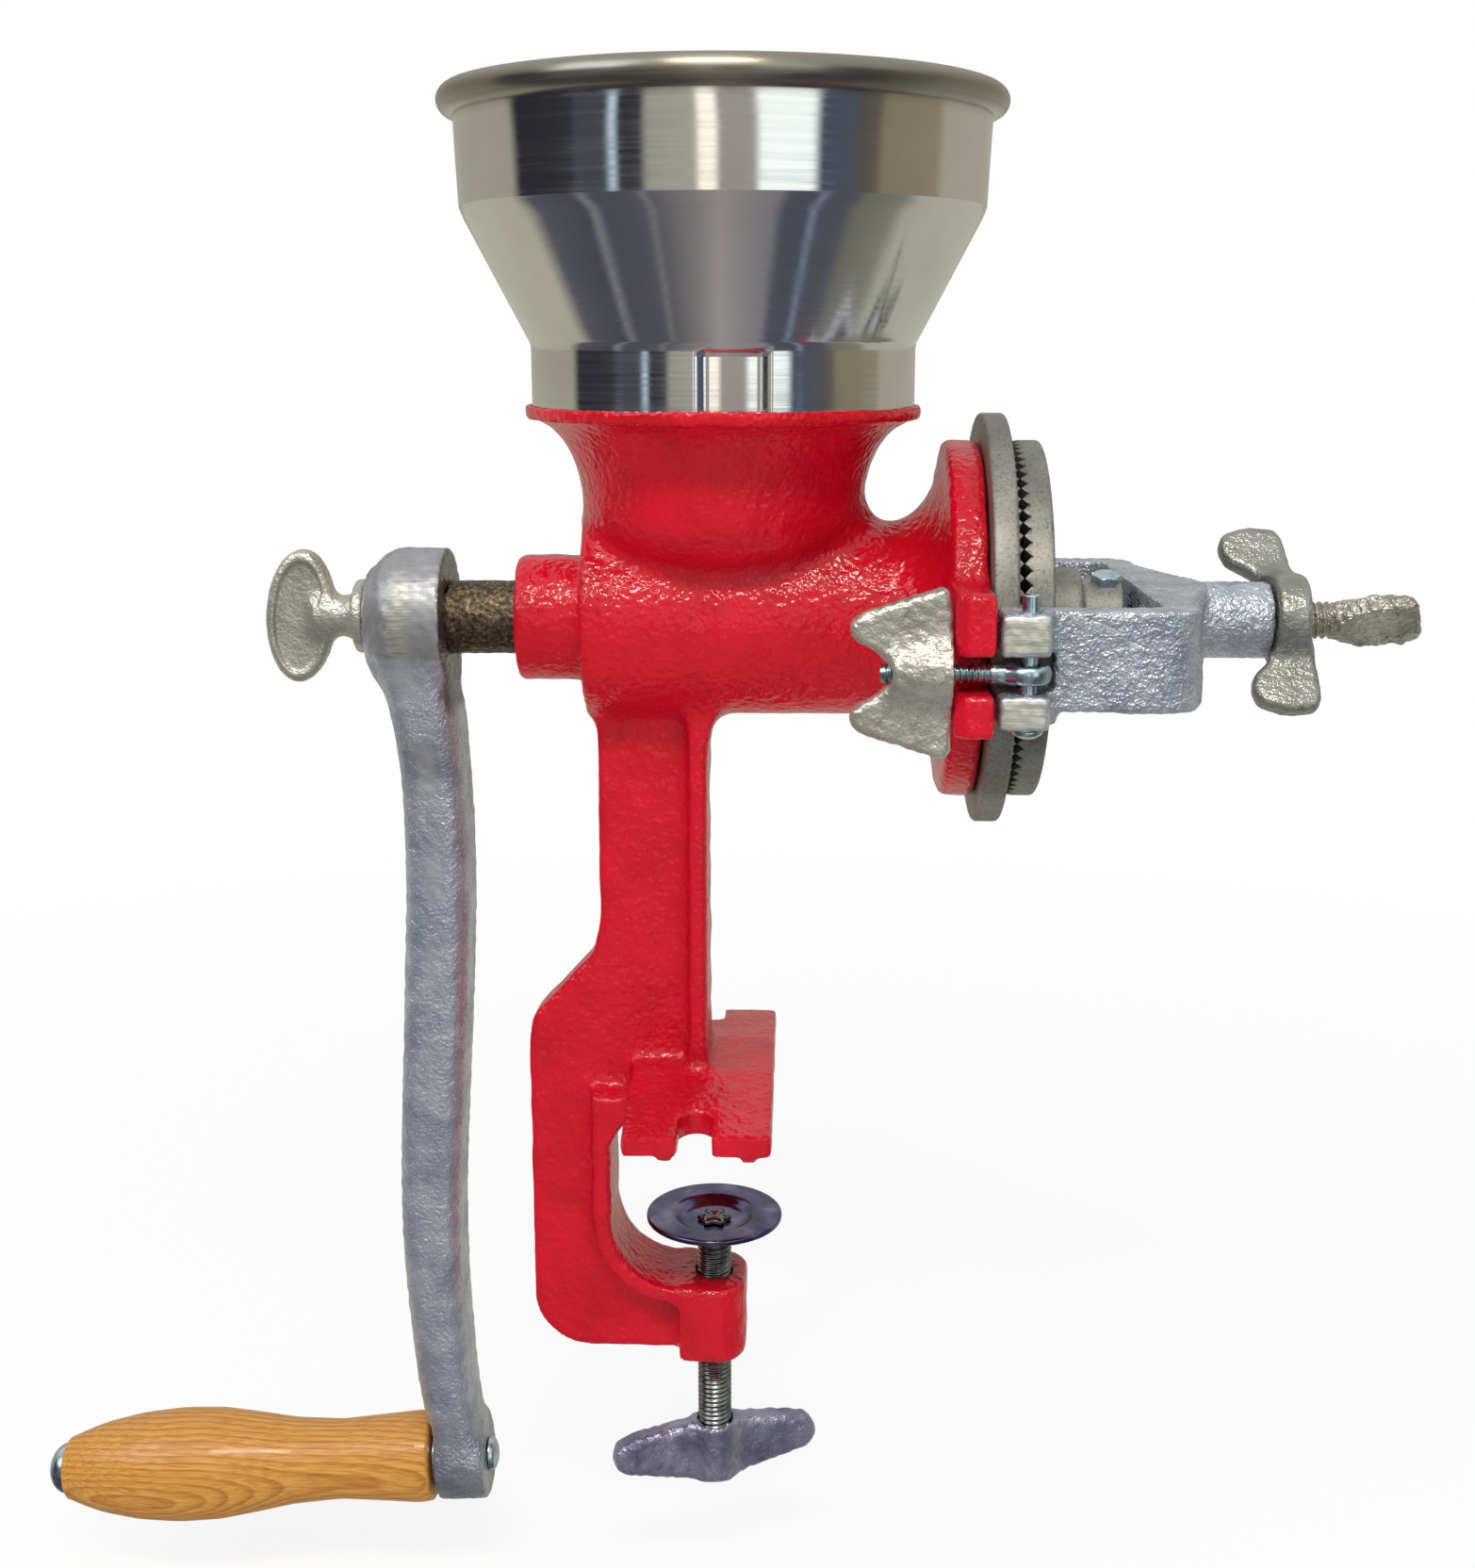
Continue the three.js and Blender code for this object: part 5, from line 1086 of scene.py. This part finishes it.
def castThumb():
    # A flattened end: an outline given thickness, thinner to its tip, run out into the thread.
    s = adjusterSize
    space = gridSpace((162, -11, -11), (192, 11, 11), 0.45)
    x, y, z = space
    turn = math.radians(s["turn"])
    flat = y * math.cos(turn) + z * math.sin(turn)
    wide = -y * math.sin(turn) + z * math.cos(turn)
    root, half = s["threadEnd"] - 1, s["half"]
    outline = softened([
        (root, -3.6), (root + 3, 2.8 - half), (root + 8, 0.2 - half), (s["end"] - 3, 0.6 - half),
        (s["end"] - 0.4, 3.2 - half), (s["end"], 5.0 - half), (s["end"] - 4.6, half - 1.4),
        (s["end"] - 6.6, half), (root + 8.5, half - 0.4), (root + 3, half - 3.2), (root, 3.6),
    ], 1.4, loop=True)
    taper = s["thick"] / 2 - np.clip((x - root - 4) / 18, 0, 1) * 1.1
    plate = crossed(askewField(outline, x, wide), np.abs(flat) - taper, 1.3)
    neck = rod(s["radius"] - 0.4, np.hypot(y, z), x, root - 1, root + 4, 1.2)
    return roughened(relaxed(surfaceOf(blended(plate, neck, 3), space), 1), 2.8, 0.22, 31)


def castLockNut():
    # Two wings swept back over the nose, leaning by lean, joined to a round hub and bored.
    s = lockSize
    face, end, tip = s["face"], s["face"] + s["length"], s["tip"]
    space = gridSpace((face - s["sweep"] - 3, -24, -26), (end + 2, 24, 26), s["cube"])
    x, y, z = space
    turn = math.radians(-s["turn"])
    across = y * math.cos(turn) + z * math.sin(turn)
    up = -y * math.sin(turn) + z * math.cos(turn)
    upper = [(end - 0.6, 8), (end - 1.0, tip - 12), (end - 1.4, tip - 4), (end - 3, tip - 0.8),
             (face - 1.6, tip), (face - s["sweep"] + 2.2, tip - 2.4), (face - s["sweep"] + 0.8, tip - 6.4),
             (face - s["sweep"] + 2.0, tip - 11.0), (face - 2.4, s["hub"] + 1.0), (face + 1, 8)]
    lower = [(u + 1.6 * (v > 16), -v) for u, v in reversed(upper)]
    whole = np.array(upper + lower)
    whole[:, 0] -= s["lean"] * whole[:, 1] / tip
    sheet = askewField(softened(whole, 2.0, loop=True), x, up)
    wings = crossed(sheet, np.abs(across) - s["thick"] / 2, 1.9)
    fromShaft = np.hypot(y, z)
    hub = rod(s["hub"], fromShaft, x, face, end, 1.8)
    nose = rod(s["nose"], fromShaft, x, face - 15, face, 0.1)
    field = hollowed(blended(wings, hub, 5), nose, 0.5)
    field = hollowed(field, rod(s["bore"], fromShaft, x, 130, 170), 0.6)
    return roughened(relaxed(surfaceOf(field, space), 1), 2.6, 0.04, 37)


adjusterThread = threaded(
    adjusterSize["radius"], adjusterSize["tip"], adjusterSize["threadEnd"], adjusterSize["pitch"],
    adjusterSize["depth"],
)
adjuster = combined([adjusterThread, castThumb()])
makePiece("adjuster", adjuster, rustySilver, "adjuster", ["adjusting_screw"])
makePiece("cast_lock_nut", castLockNut(), greySilver, "lock_nut", ["lock_wing_nut"])

# Crank

crankSize = {
    "cube": 0.85, "hubLeft": -92.3, "hubRight": -70.5, "hubRadius": 18.4, "bossX": -74.6, "throw": -251.5,
    "bossRadius": 12.5, "bossHalf": 7.25, "tilt": 3.3, "thick": 16.6, "wide": 22.0, "corner": 5.6,
    "rivetBore": 3.3, "play": 0.3,
}


def castCrank():
    # At each height the arm is a rounded rectangle about the middle of its curve, joined with the hub, a
    # shoulder under the hub and the rivet's boss, then bored; gives the surface, and the marks of how far
    # each point is darkened, by raw casting skin and by painted shade, and how ground it is.
    s = crankSize
    space = gridSpace((-96, -21, -267), (-62, 21, 21), s["cube"])
    x, y, z = space
    path = np.array([
        (-81.1, -8), (-78.0, -21), (-76.2, -34), (-75.3, -55), (-75.4, -76), (-77.4, -112), (-80.0, -152),
        (-80.8, -172), (-80.6, -192), (-78.6, -226.4), (-74.6, -251.5),
    ])
    down = -z.ravel()
    middle = np.interp(down, -path[:, 1], path[:, 0])
    smooth = np.convolve(np.pad(middle, 12, mode="edge"), np.ones(25) / 25, mode="valid")
    share = np.clip((down - 8) / (-s["throw"] - 8), 0, 1)
    flare = np.clip(1 - share * 7, 0, 1)
    halfX = (s["thick"] + 2.2 * np.sin(np.pi * share) - 2.4 * share + flare) / 2
    halfY = (s["wide"] + 8 * flare) / 2
    arm = crossed(np.abs(x - smooth) - halfX, np.abs(y) - halfY, s["corner"])
    arm = np.maximum(arm, np.abs(z + 129) - 124)
    fromShaft = np.hypot(y, z)
    hubProfile = softened([
        (s["hubLeft"], 0), (s["hubLeft"], 12), (s["hubLeft"] + 5.5, 17.0),
        (s["hubLeft"] + 8.5, s["hubRadius"]), (s["hubRight"], s["hubRadius"]), (s["hubRight"], 0),
    ], (0.8, 0.8, 0.8, 0.8, 0.5, 0.5))
    field = blended(arm, turnedField(hubProfile, x, fromShaft), 4)
    left = s["hubLeft"] + 0.1
    shoulder = softened([
        (left, -2), (left, -12.5), (left + 2.4, -17), (left + 6.5, -21.5), (left + 12, -22),
        (left + 12, -2),
    ], 2.2, loop=True)
    field = blended(field, slab(shoulder, x, z, y, -10.5, 10.5, 4), 2)
    lean = math.radians(s["tilt"])
    along = (x - s["bossX"]) * math.cos(lean) + (z - s["throw"]) * math.sin(lean)
    up = -(x - s["bossX"]) * math.sin(lean) + (z - s["throw"]) * math.cos(lean)
    fromRivet = np.hypot(y, up)
    field = blended(field, rod(s["bossRadius"], fromRivet, along, -s["bossHalf"], s["bossHalf"], 1.2), 3)
    past = (z - s["throw"]) < 14
    field = np.where(past, np.maximum(field, np.abs(along) - s["bossHalf"]), field)
    field = hollowed(field, rod(s["rivetBore"], fromRivet, along, -20, 20), 0.4)
    w, play = wormSize, s["play"]
    tang = rod(w["radius"] + play, fromShaft, x, w["left"] - play, -60, 0.3)
    tang = np.maximum(tang, np.abs(z) - (w["flatHalf"] + play))
    field = hollowed(field, tang, 0.5)
    field = hollowed(field, rod(w["thumbBore"] + 0.05, fromShaft, x, -100, -70), 0.4)
    surface = roughened(relaxed(surfaceOf(field, space), 1), 3.0, 0.06, 41)
    points, normals = surface[0], normalsOf(*surface)
    front = np.clip((-normals[:, 1] - 0.55) / 0.3, 0, 1)
    patch = np.clip(0.5 + unevenness(points, 16, 0.4, 43), 0, 1)
    onHub = np.clip((points[:, 2] + 10) / 1.2, 0, 1)
    around = np.clip((0.35 - normals[:, 1]) / 0.2, 0, 1) * (np.abs(normals[:, 0]) < 0.75)
    lineX = np.interp(-points[:, 2], down[::-1], smooth[::-1])
    strip = np.clip(1.2 - np.abs(points[:, 0] - lineX + 1) / 4, 0, 1)
    strip *= np.clip((points[:, 2] + 110) / 60, 0, 1) + 0.25
    # Painted shade: the side by the hub that faces the mill's snout is darkened towards brown, for its raw
    # casting skin and for the shade in the gap.
    side = np.clip((normals[:, 0] - 0.6) / 0.25, 0, 1) * np.clip((points[:, 2] + 26) / 4, 0, 1)
    # Darker also over the hub's ground faces, in a band just under the hub, and towards the boss at the lower
    # end.
    dull = 0.38 * onHub * around + 0.22 * np.clip(1 - np.abs(points[:, 2] + 36) / 30, 0, 1)
    dull += 0.3 * np.clip((-228 - points[:, 2]) / 20, 0, 1)
    ground = onHub * around * (0.55 + 0.15 * patch) + front * strip * patch * 0.6
    return surface, {"skinAndShade": np.clip(side * 0.8 + dull, 0, 0.8), "ground": np.clip(ground, 0, 1)}


crankSurface, crankMarks = castCrank()
makePiece("cast_crank", crankSurface, crankSilver, "shaft", ["crank_arm"], crankMarks)

thumbSize = {
    "cube": 0.42, "headX": -110.9, "halfWide": 9.2, "halfHigh": 17.9, "half": 3.5, "sunk": 1.5, "lean": -5.0
}


def castThumbScrew():
    # An oval plate with a sunk middle, a waisted neck, a collar and a shank.
    s = thumbSize
    space = gridSpace((-123, -12, -20), (-75, 12, 20), s["cube"])
    x, y, z = space
    lean = math.radians(s["lean"])
    u = (x - s["headX"]) * math.cos(lean) + z * math.sin(lean)
    w = -(x - s["headX"]) * math.sin(lean) + z * math.cos(lean)
    oval = (np.hypot(u / s["halfWide"], w / s["halfHigh"]) - 1) * s["halfWide"]
    head = crossed(oval, np.abs(y) - s["half"], 2.2)
    inner = (np.hypot(u / (s["halfWide"] - 2.5), w / (s["halfHigh"] - 2.9)) - 1) * (s["halfWide"] - 2.5)
    for face in (-1, 1):
        head = hollowed(head, crossed(inner, np.abs(y - face * (s["half"] + 2 - s["sunk"])) - 2, 0.6), 0.7)
    fromShaft = np.hypot(y, z)
    stem = turnedField(softened([
        (-107, 0), (-107, 4.4), (-103, 4.8), (-99, 5.4), (-96.0, 6.6), (-95.6, 9.9), (-92.6, 9.9),
        (-92.6, 4.0), (-76.6, 4.0), (-76.6, 0),
    ], 1.1), x, fromShaft)
    return roughened(relaxed(surfaceOf(blended(head, stem, 4), space), 1), 2.4, 0.03, 51)


makePiece(
    "cast_thumb_screw", castThumbScrew(), warmSilver, "thumb_screw", ["crank_thumb_screw"]
)

# Grip on its rivet

gripSize = {"right": -8.85, "left": -119.6, "bore": 3.35, "steps": 112}
rivetSize = {"face": -119.9, "dome": 5.4, "head": 7.4, "shank": 3.0, "hub": 7.55}
washerSize = {"left": -8.55, "right": -7.55, "bore": 3.3, "radius": 8.5}


def onRivet(surface):
    # Turns a surface drawn about X by the rivet's tilt and moves it to the end of the crank.
    s = crankSize
    points, triangles = surface
    lean = math.radians(-s["tilt"])
    rotation = np.array([
        [math.cos(lean), 0, math.sin(lean)], [0, 1, 0], [-math.sin(lean), 0, math.cos(lean)]
    ])
    return points @ rotation.T + [s["bossX"], 0, s["throw"]], triangles


def turnGrip():
    # A smooth curve through the measured radii, closed by the bore.
    s = gripSize
    share = np.array([0, 0.03, 0.11, 0.25, 0.38, 0.48, 0.58, 0.69, 0.8, 0.9, 0.965, 1.0])
    radius = np.array([12.4, 13.2, 12.5, 11.35, 12.3, 14.2, 15.9, 16.25, 15.2, 12.9, 10.4, 8.6])
    fine = np.linspace(0, 1, 181)
    curve = np.interp(fine, share, radius)
    window = np.hanning(15)
    curve = np.convolve(np.pad(curve, 6, mode="edge"), window[1:-1] / window.sum(), mode="valid")
    along = s["right"] + fine * (s["left"] - s["right"])
    outside = np.stack([along, curve], 1)
    profile = np.concatenate([
        [(s["right"], s["bore"]), (s["right"], curve[0] - 0.8)], outside[1:-1],
        [(s["left"], curve[-1] - 0.8), (s["left"], s["bore"])],
    ])
    return turned(spaced(np.concatenate([profile, profile[:1]]), 2)[:-1], s["steps"], loop=True)


makePiece("turned_grip", onRivet(turnGrip()), varnishedWood, "grip", ["grip"], crease=50)


def turnRivet():
    # A quarter ellipse for the head, the shank through the grip and the crank, and the hammered end.
    s = rivetSize
    dome = arc(0, 0, 1, 90, 0, 12)[::-1]
    shank = [
        (s["face"], s["head"]), (s["face"], s["shank"]), (s["hub"], s["shank"]), (s["hub"], 5.0),
        (9.15, 4.4), (9.95, 2.4), (9.95, 0),
    ]
    head = np.stack([s["face"] - s["dome"] * dome[:, 0], s["head"] * dome[:, 1]], 1)
    return turned(np.concatenate([head, softened(shank, 0.4, 3)]), 56)


def turnWasher():
    # A flat ring with its four edges softened.
    s = washerSize
    profile = [
        (s["left"], s["bore"]), (s["left"], s["radius"]), (s["right"], s["radius"]), (s["right"], s["bore"])
    ]
    return turned(softened(profile, 0.2, 3, loop=True), 64, loop=True)


makePiece("domed_rivet", onRivet(turnRivet()), zincPlate, "shaft", ["grip_rivet"])
makePiece("rivet_washer", onRivet(turnWasher()), zincPlate, "shaft", ["grip_washer"])

# Clamp pad, screw and handle

padSize = {"radius": 19.4, "top": -172.0, "thick": 1.6, "dish": 2.6, "dishRadius": 11.0, "hole": 3.35}
screwSize = {
    "radius": 4.9, "low": -244.0, "high": -177.0, "pitch": 1.45, "depth": 0.6, "neck": 3.0, "neckTop": -174.0,
    "starPoints": 6, "starDepth": 0.16,
}
handleSize = {
    "cube": 0.6, "top": -238.0, "bottom": -256.0, "tip": 5.6, "reach": 30.8, "turn": 18.0, "thick": 7.0,
    "hub": 6.4, "bore": 5.2, "boreEnd": -244.3,
}


def pressPad():
    # A flat ring with a dished middle, its edges rounded by the press.
    s = padSize
    top, under = s["top"], s["top"] - s["thick"]
    profile = softened([
        (under - s["dish"], s["hole"]), (under - s["dish"], s["dishRadius"] - 1.4),
        (under, s["dishRadius"] + 1.2), (under, s["radius"]), (top, s["radius"]),
        (top, s["dishRadius"] + 0.8), (top - s["dish"], s["dishRadius"] - 1.8),
        (top - s["dish"], s["hole"]),
    ], (0.3, 1.6, 1.6, 0.5, 0.7, 1.6, 1.6, 0.4), 5, loop=True)
    return turned(spaced(np.concatenate([profile, profile[:1]]), 2)[:-1], 144, "z", loop=True)


def turnClampScrew():
    # A threaded rod with a neck, ended by a crimped star: the rim's radius is 1 + depth * cos of the turn
    # times its points.
    s = screwSize
    body = threaded(s["radius"], s["low"], s["high"], s["pitch"], s["depth"], "z")
    start, end, neckRadius = s["high"] - 1, s["neckTop"], s["neck"]
    neck = turned([(start, 0), (start, neckRadius), (end, neckRadius), (end, 0)], 40, "z")
    angle = np.linspace(0, 2 * np.pi, 72, endpoint=False)
    profile = [(-174.3, 0), (-174.3, 4.3), (-173.3, 4.1), (-172.6, 2.6), (-173.2, 0.9), (-173.4, 0)]
    profile = softened(profile, 0.4, 4)
    star = 1 + s["starDepth"] * np.cos(s["starPoints"] * angle) * np.clip(profile[:, 1:] / 2.2, 0, 1)
    tip = skin(turnedGrid(profile[:, :1], profile[:, 1:] * star, angle, "z"))
    return combined([body, neck, tip])


def castHandle():
    # Two wings in one outline, given thickness round an upright hub.
    s = handleSize
    space = gridSpace((-32, -15, -261), (32, 15, -232), s["cube"])
    x, y, z = space
    turn = math.radians(s["turn"])
    u = x * math.cos(turn) + y * math.sin(turn)
    across = -x * math.sin(turn) + y * math.cos(turn)
    middle = (s["top"] + s["bottom"]) / 2
    half = [(s["hub"] - 1, s["bottom"] + 0.4), (s["hub"] + 2.6, s["bottom"] + 0.8)]
    half += arc(s["reach"] - s["tip"], middle + 1.0, s["tip"], -65, 65, 8).tolist()
    half += [
        (s["reach"] - 7, s["top"] - 1.6), (s["hub"] + 4, s["top"] + 0.2), (s["hub"] - 1, s["top"] + 0.2)
    ]
    outline = softened(half + [(-a, b) for a, b in reversed(half)], 2.2, loop=True)
    wings = crossed(askewField(outline, u, z), np.abs(across) - s["thick"] / 2, 2.4)
    hub = rod(s["hub"], np.hypot(x, y), z, s["bottom"], s["top"], 1.6)
    field = hollowed(blended(wings, hub, 4), rod(s["bore"], np.hypot(x, y), z, s["boreEnd"], -220, 0.2), 0.4)
    return roughened(relaxed(surfaceOf(field, space), 1), 2.8, 0.1, 61)


makePiece("pressed_pad", pressPad(), bluedSteel, "pad", ["clamp_pad"], crease=50)
makePiece("threaded_clamp_screw", turnClampScrew(), dullZinc, "clamp_handle", ["clamp_screw"])
makePiece(
    "cast_wing_handle", castHandle(), violetSilver, "clamp_handle", ["clamp_wing_handle"]
)
print("pieces made")


# Floor, light and camera

stageSize = {
    "floorHeight": -0.16, "floorReach": 6.0, "fadeStart": 0.35, "fadeEnd": 0.9, "axisX": 0.003,
    "brightness": 1.35,
}

# What a mirror sees round the hopper: turn from the front in degrees, rightwards, and the colour there.
roomBands = [
    (-180, "#9b998f"), (-97, "#929086"), (-92, "#26262e"), (-63, "#2d2e35"), (-60, "#3c4149"),
    (-47, "#3c4149"), (-44, "#c8dcf0"), (-41, "#292b32"), (-32, "#343439"), (-29, "#999992"),
    (-9, "#9d9d96"), (-7, "#fffcf0"), (-1.5, "#fffdf4"), (1, "#918b8a"), (15, "#928d8b"), (18, "#f4fcff"),
    (39, "#f4fcff"), (43, "#414859"), (57, "#4a4f5d"), (60, "#4f4d4a"), (68, "#58544d"), (72, "#7a7362"),
    (103, "#817a69"), (108, "#979286"), (180, "#9b998f"),
]
floorBands = [
    (-180, "#a9a79b"), (-100, "#a2a094"), (-90, "#4f505a"), (-66, "#43444d"), (-62, "#73767e"),
    (-57, "#484953"), (-36, "#4f505a"), (-33, "#707177"), (-30, "#55565e"), (-18, "#6e6a6e"),
    (0, "#8b8789"), (14, "#7e7a7e"), (27, "#73717a"), (32, "#484b56"), (44, "#444856"), (47, "#717c90"),
    (50, "#484b56"), (63, "#4d505a"), (68, "#65655f"), (88, "#777770"), (96, "#9e9f9a"), (180, "#a9a79b"),
]


def aroundAxis(tree, place, bands):
    # A colour by the turn of a place about Z: gradient = 0.5 + turn / 360 degrees from the front.
    facing = addNode(tree, "Mapping", {"Vector": place, "Rotation": (0, 0, math.radians(90))})
    around = addNode(tree, "TexGradient", {"Vector": facing}, gradient_type="RADIAL").outputs["Fac"]
    return addNode(tree, "ValToRGB", {"Fac": around}, [(0.5 + turn / 360, shade) for turn, shade in bands])


# Studio paper: white to the camera but for the object's shadow near it; mirrors see the darker table in
# front.
def makeFloor():
    s = stageSize
    reach = s["floorReach"]
    corners = [(-reach, -reach, 0), (reach, -reach, 0), (reach, reach, 0), (-reach, reach, 0)]
    mesh = bpy.data.meshes.new("floor")
    mesh.from_pydata(corners, [], [(0, 1, 2, 3)])
    floor = bpy.data.objects.new("floor", mesh)
    floor.location.z = s["floorHeight"]
    bpy.context.scene.collection.objects.link(floor)
    material, tree, place = startFinish("pale studio paper")
    endFinish(material, {"Base Color": "#f4f4f2", "Roughness": 0.9})
    far = addNode(tree, "VectorMath", {0: place}, operation="LENGTH").outputs["Value"]
    fade = addNode(tree, "MapRange", {
        "Value": far, "From Min": s["fadeStart"], "From Max": s["fadeEnd"], "To Min": 0.82, "To Max": 1.0,
    })
    fromAxis = addNode(tree, "Mapping", {"Vector": place, "Location": (-s["axisX"], 0, 0)})
    glow = addNode(tree, "Emission", {"Color": (1, 1, 1, 1), "Strength": 1.0})
    seen = aroundAxis(tree, fromAxis, floorBands)
    table = addNode(tree, "Emission", {"Color": seen, "Strength": s["brightness"]})
    rays = addNode(tree, "LightPath").outputs
    share = addNode(tree, "Math", {0: rays["Is Camera Ray"], 1: fade}, operation="MULTIPLY")
    paper = tree.nodes["Principled BSDF"]
    mirrored = addNode(tree, "MixShader", {0: rays["Is Glossy Ray"], 1: paper, 2: table})
    mixed = addNode(tree, "MixShader", {0: share, 1: mirrored, 2: glow})
    fill(tree, tree.nodes["Material Output"].inputs["Surface"], mixed)
    mesh.materials.append(material)


def makeWorld():
    # White to the camera; to the object a room of upright bands of light and dark, with an even ceiling.
    world = bpy.data.worlds.new("studio")
    bpy.context.scene.world = world
    world.use_nodes = True
    tree = world.node_tree
    tree.nodes.clear()
    way = addNode(tree, "TexCoord").outputs["Generated"]
    upward = addNode(tree, "SeparateXYZ", {"Vector": way}).outputs["Z"]
    height = addNode(tree, "MapRange", {"Value": upward, "From Min": 0.25, "From Max": 0.6})
    room = aroundAxis(tree, way, roomBands)
    sky = addNode(tree, "Mix", {"Factor": height, 6: room, 7: "#c4c6c8"}, data_type="RGBA")
    lit = addNode(tree, "Background", {"Color": sky, "Strength": stageSize["brightness"]})
    white = addNode(tree, "Background", {"Color": (1, 1, 1, 1), "Strength": 1.0})
    seen = addNode(tree, "LightPath").outputs["Is Camera Ray"]
    both = addNode(tree, "MixShader", {0: seen, 1: lit, 2: white})
    addNode(tree, "OutputWorld", {"Surface": both})


def addLamp(name, place, target, size, power, shade):
    # A rectangular lamp that faces the target.
    data = bpy.data.lights.new(name, "AREA")
    data.shape, data.size, data.size_y = "RECTANGLE", size[0], size[1]
    data.energy, data.color = power, linear(shade)[:3]
    lamp = bpy.data.objects.new(name, data)
    lamp.location = place
    lamp.rotation_euler = (Vector(target) - Vector(place)).to_track_quat("-Z", "Y").to_euler()
    bpy.context.scene.collection.objects.link(lamp)


makeFloor()
makeWorld()
addLamp("window", (-0.03, -1.15, 1.5), (0, 0, 0.1), (0.8, 0.2), 15, "#fff6ea")
addLamp("sky fill", (-1.2, -0.9, 1.2), (0, 0, 0.05), (1.0, 1.0), 8, "#eef3ff")

camera = bpy.data.objects.new("camera", bpy.data.cameras.new("camera"))
camera.data.lens = 2048.8 * 36 / 1664  # the photograph's focal length in pixels, on the frame's long side
camera.data.sensor_width = 36
camera.location = (0.02283, -0.51368, 0.20834)
camera.rotation_euler = (math.radians(90 - 12.99), 0, math.radians(1.8))
bpy.context.scene.collection.objects.link(camera)
bpy.context.scene.camera = camera
bpy.context.scene.view_settings.view_transform = "Standard"

print("stage set")
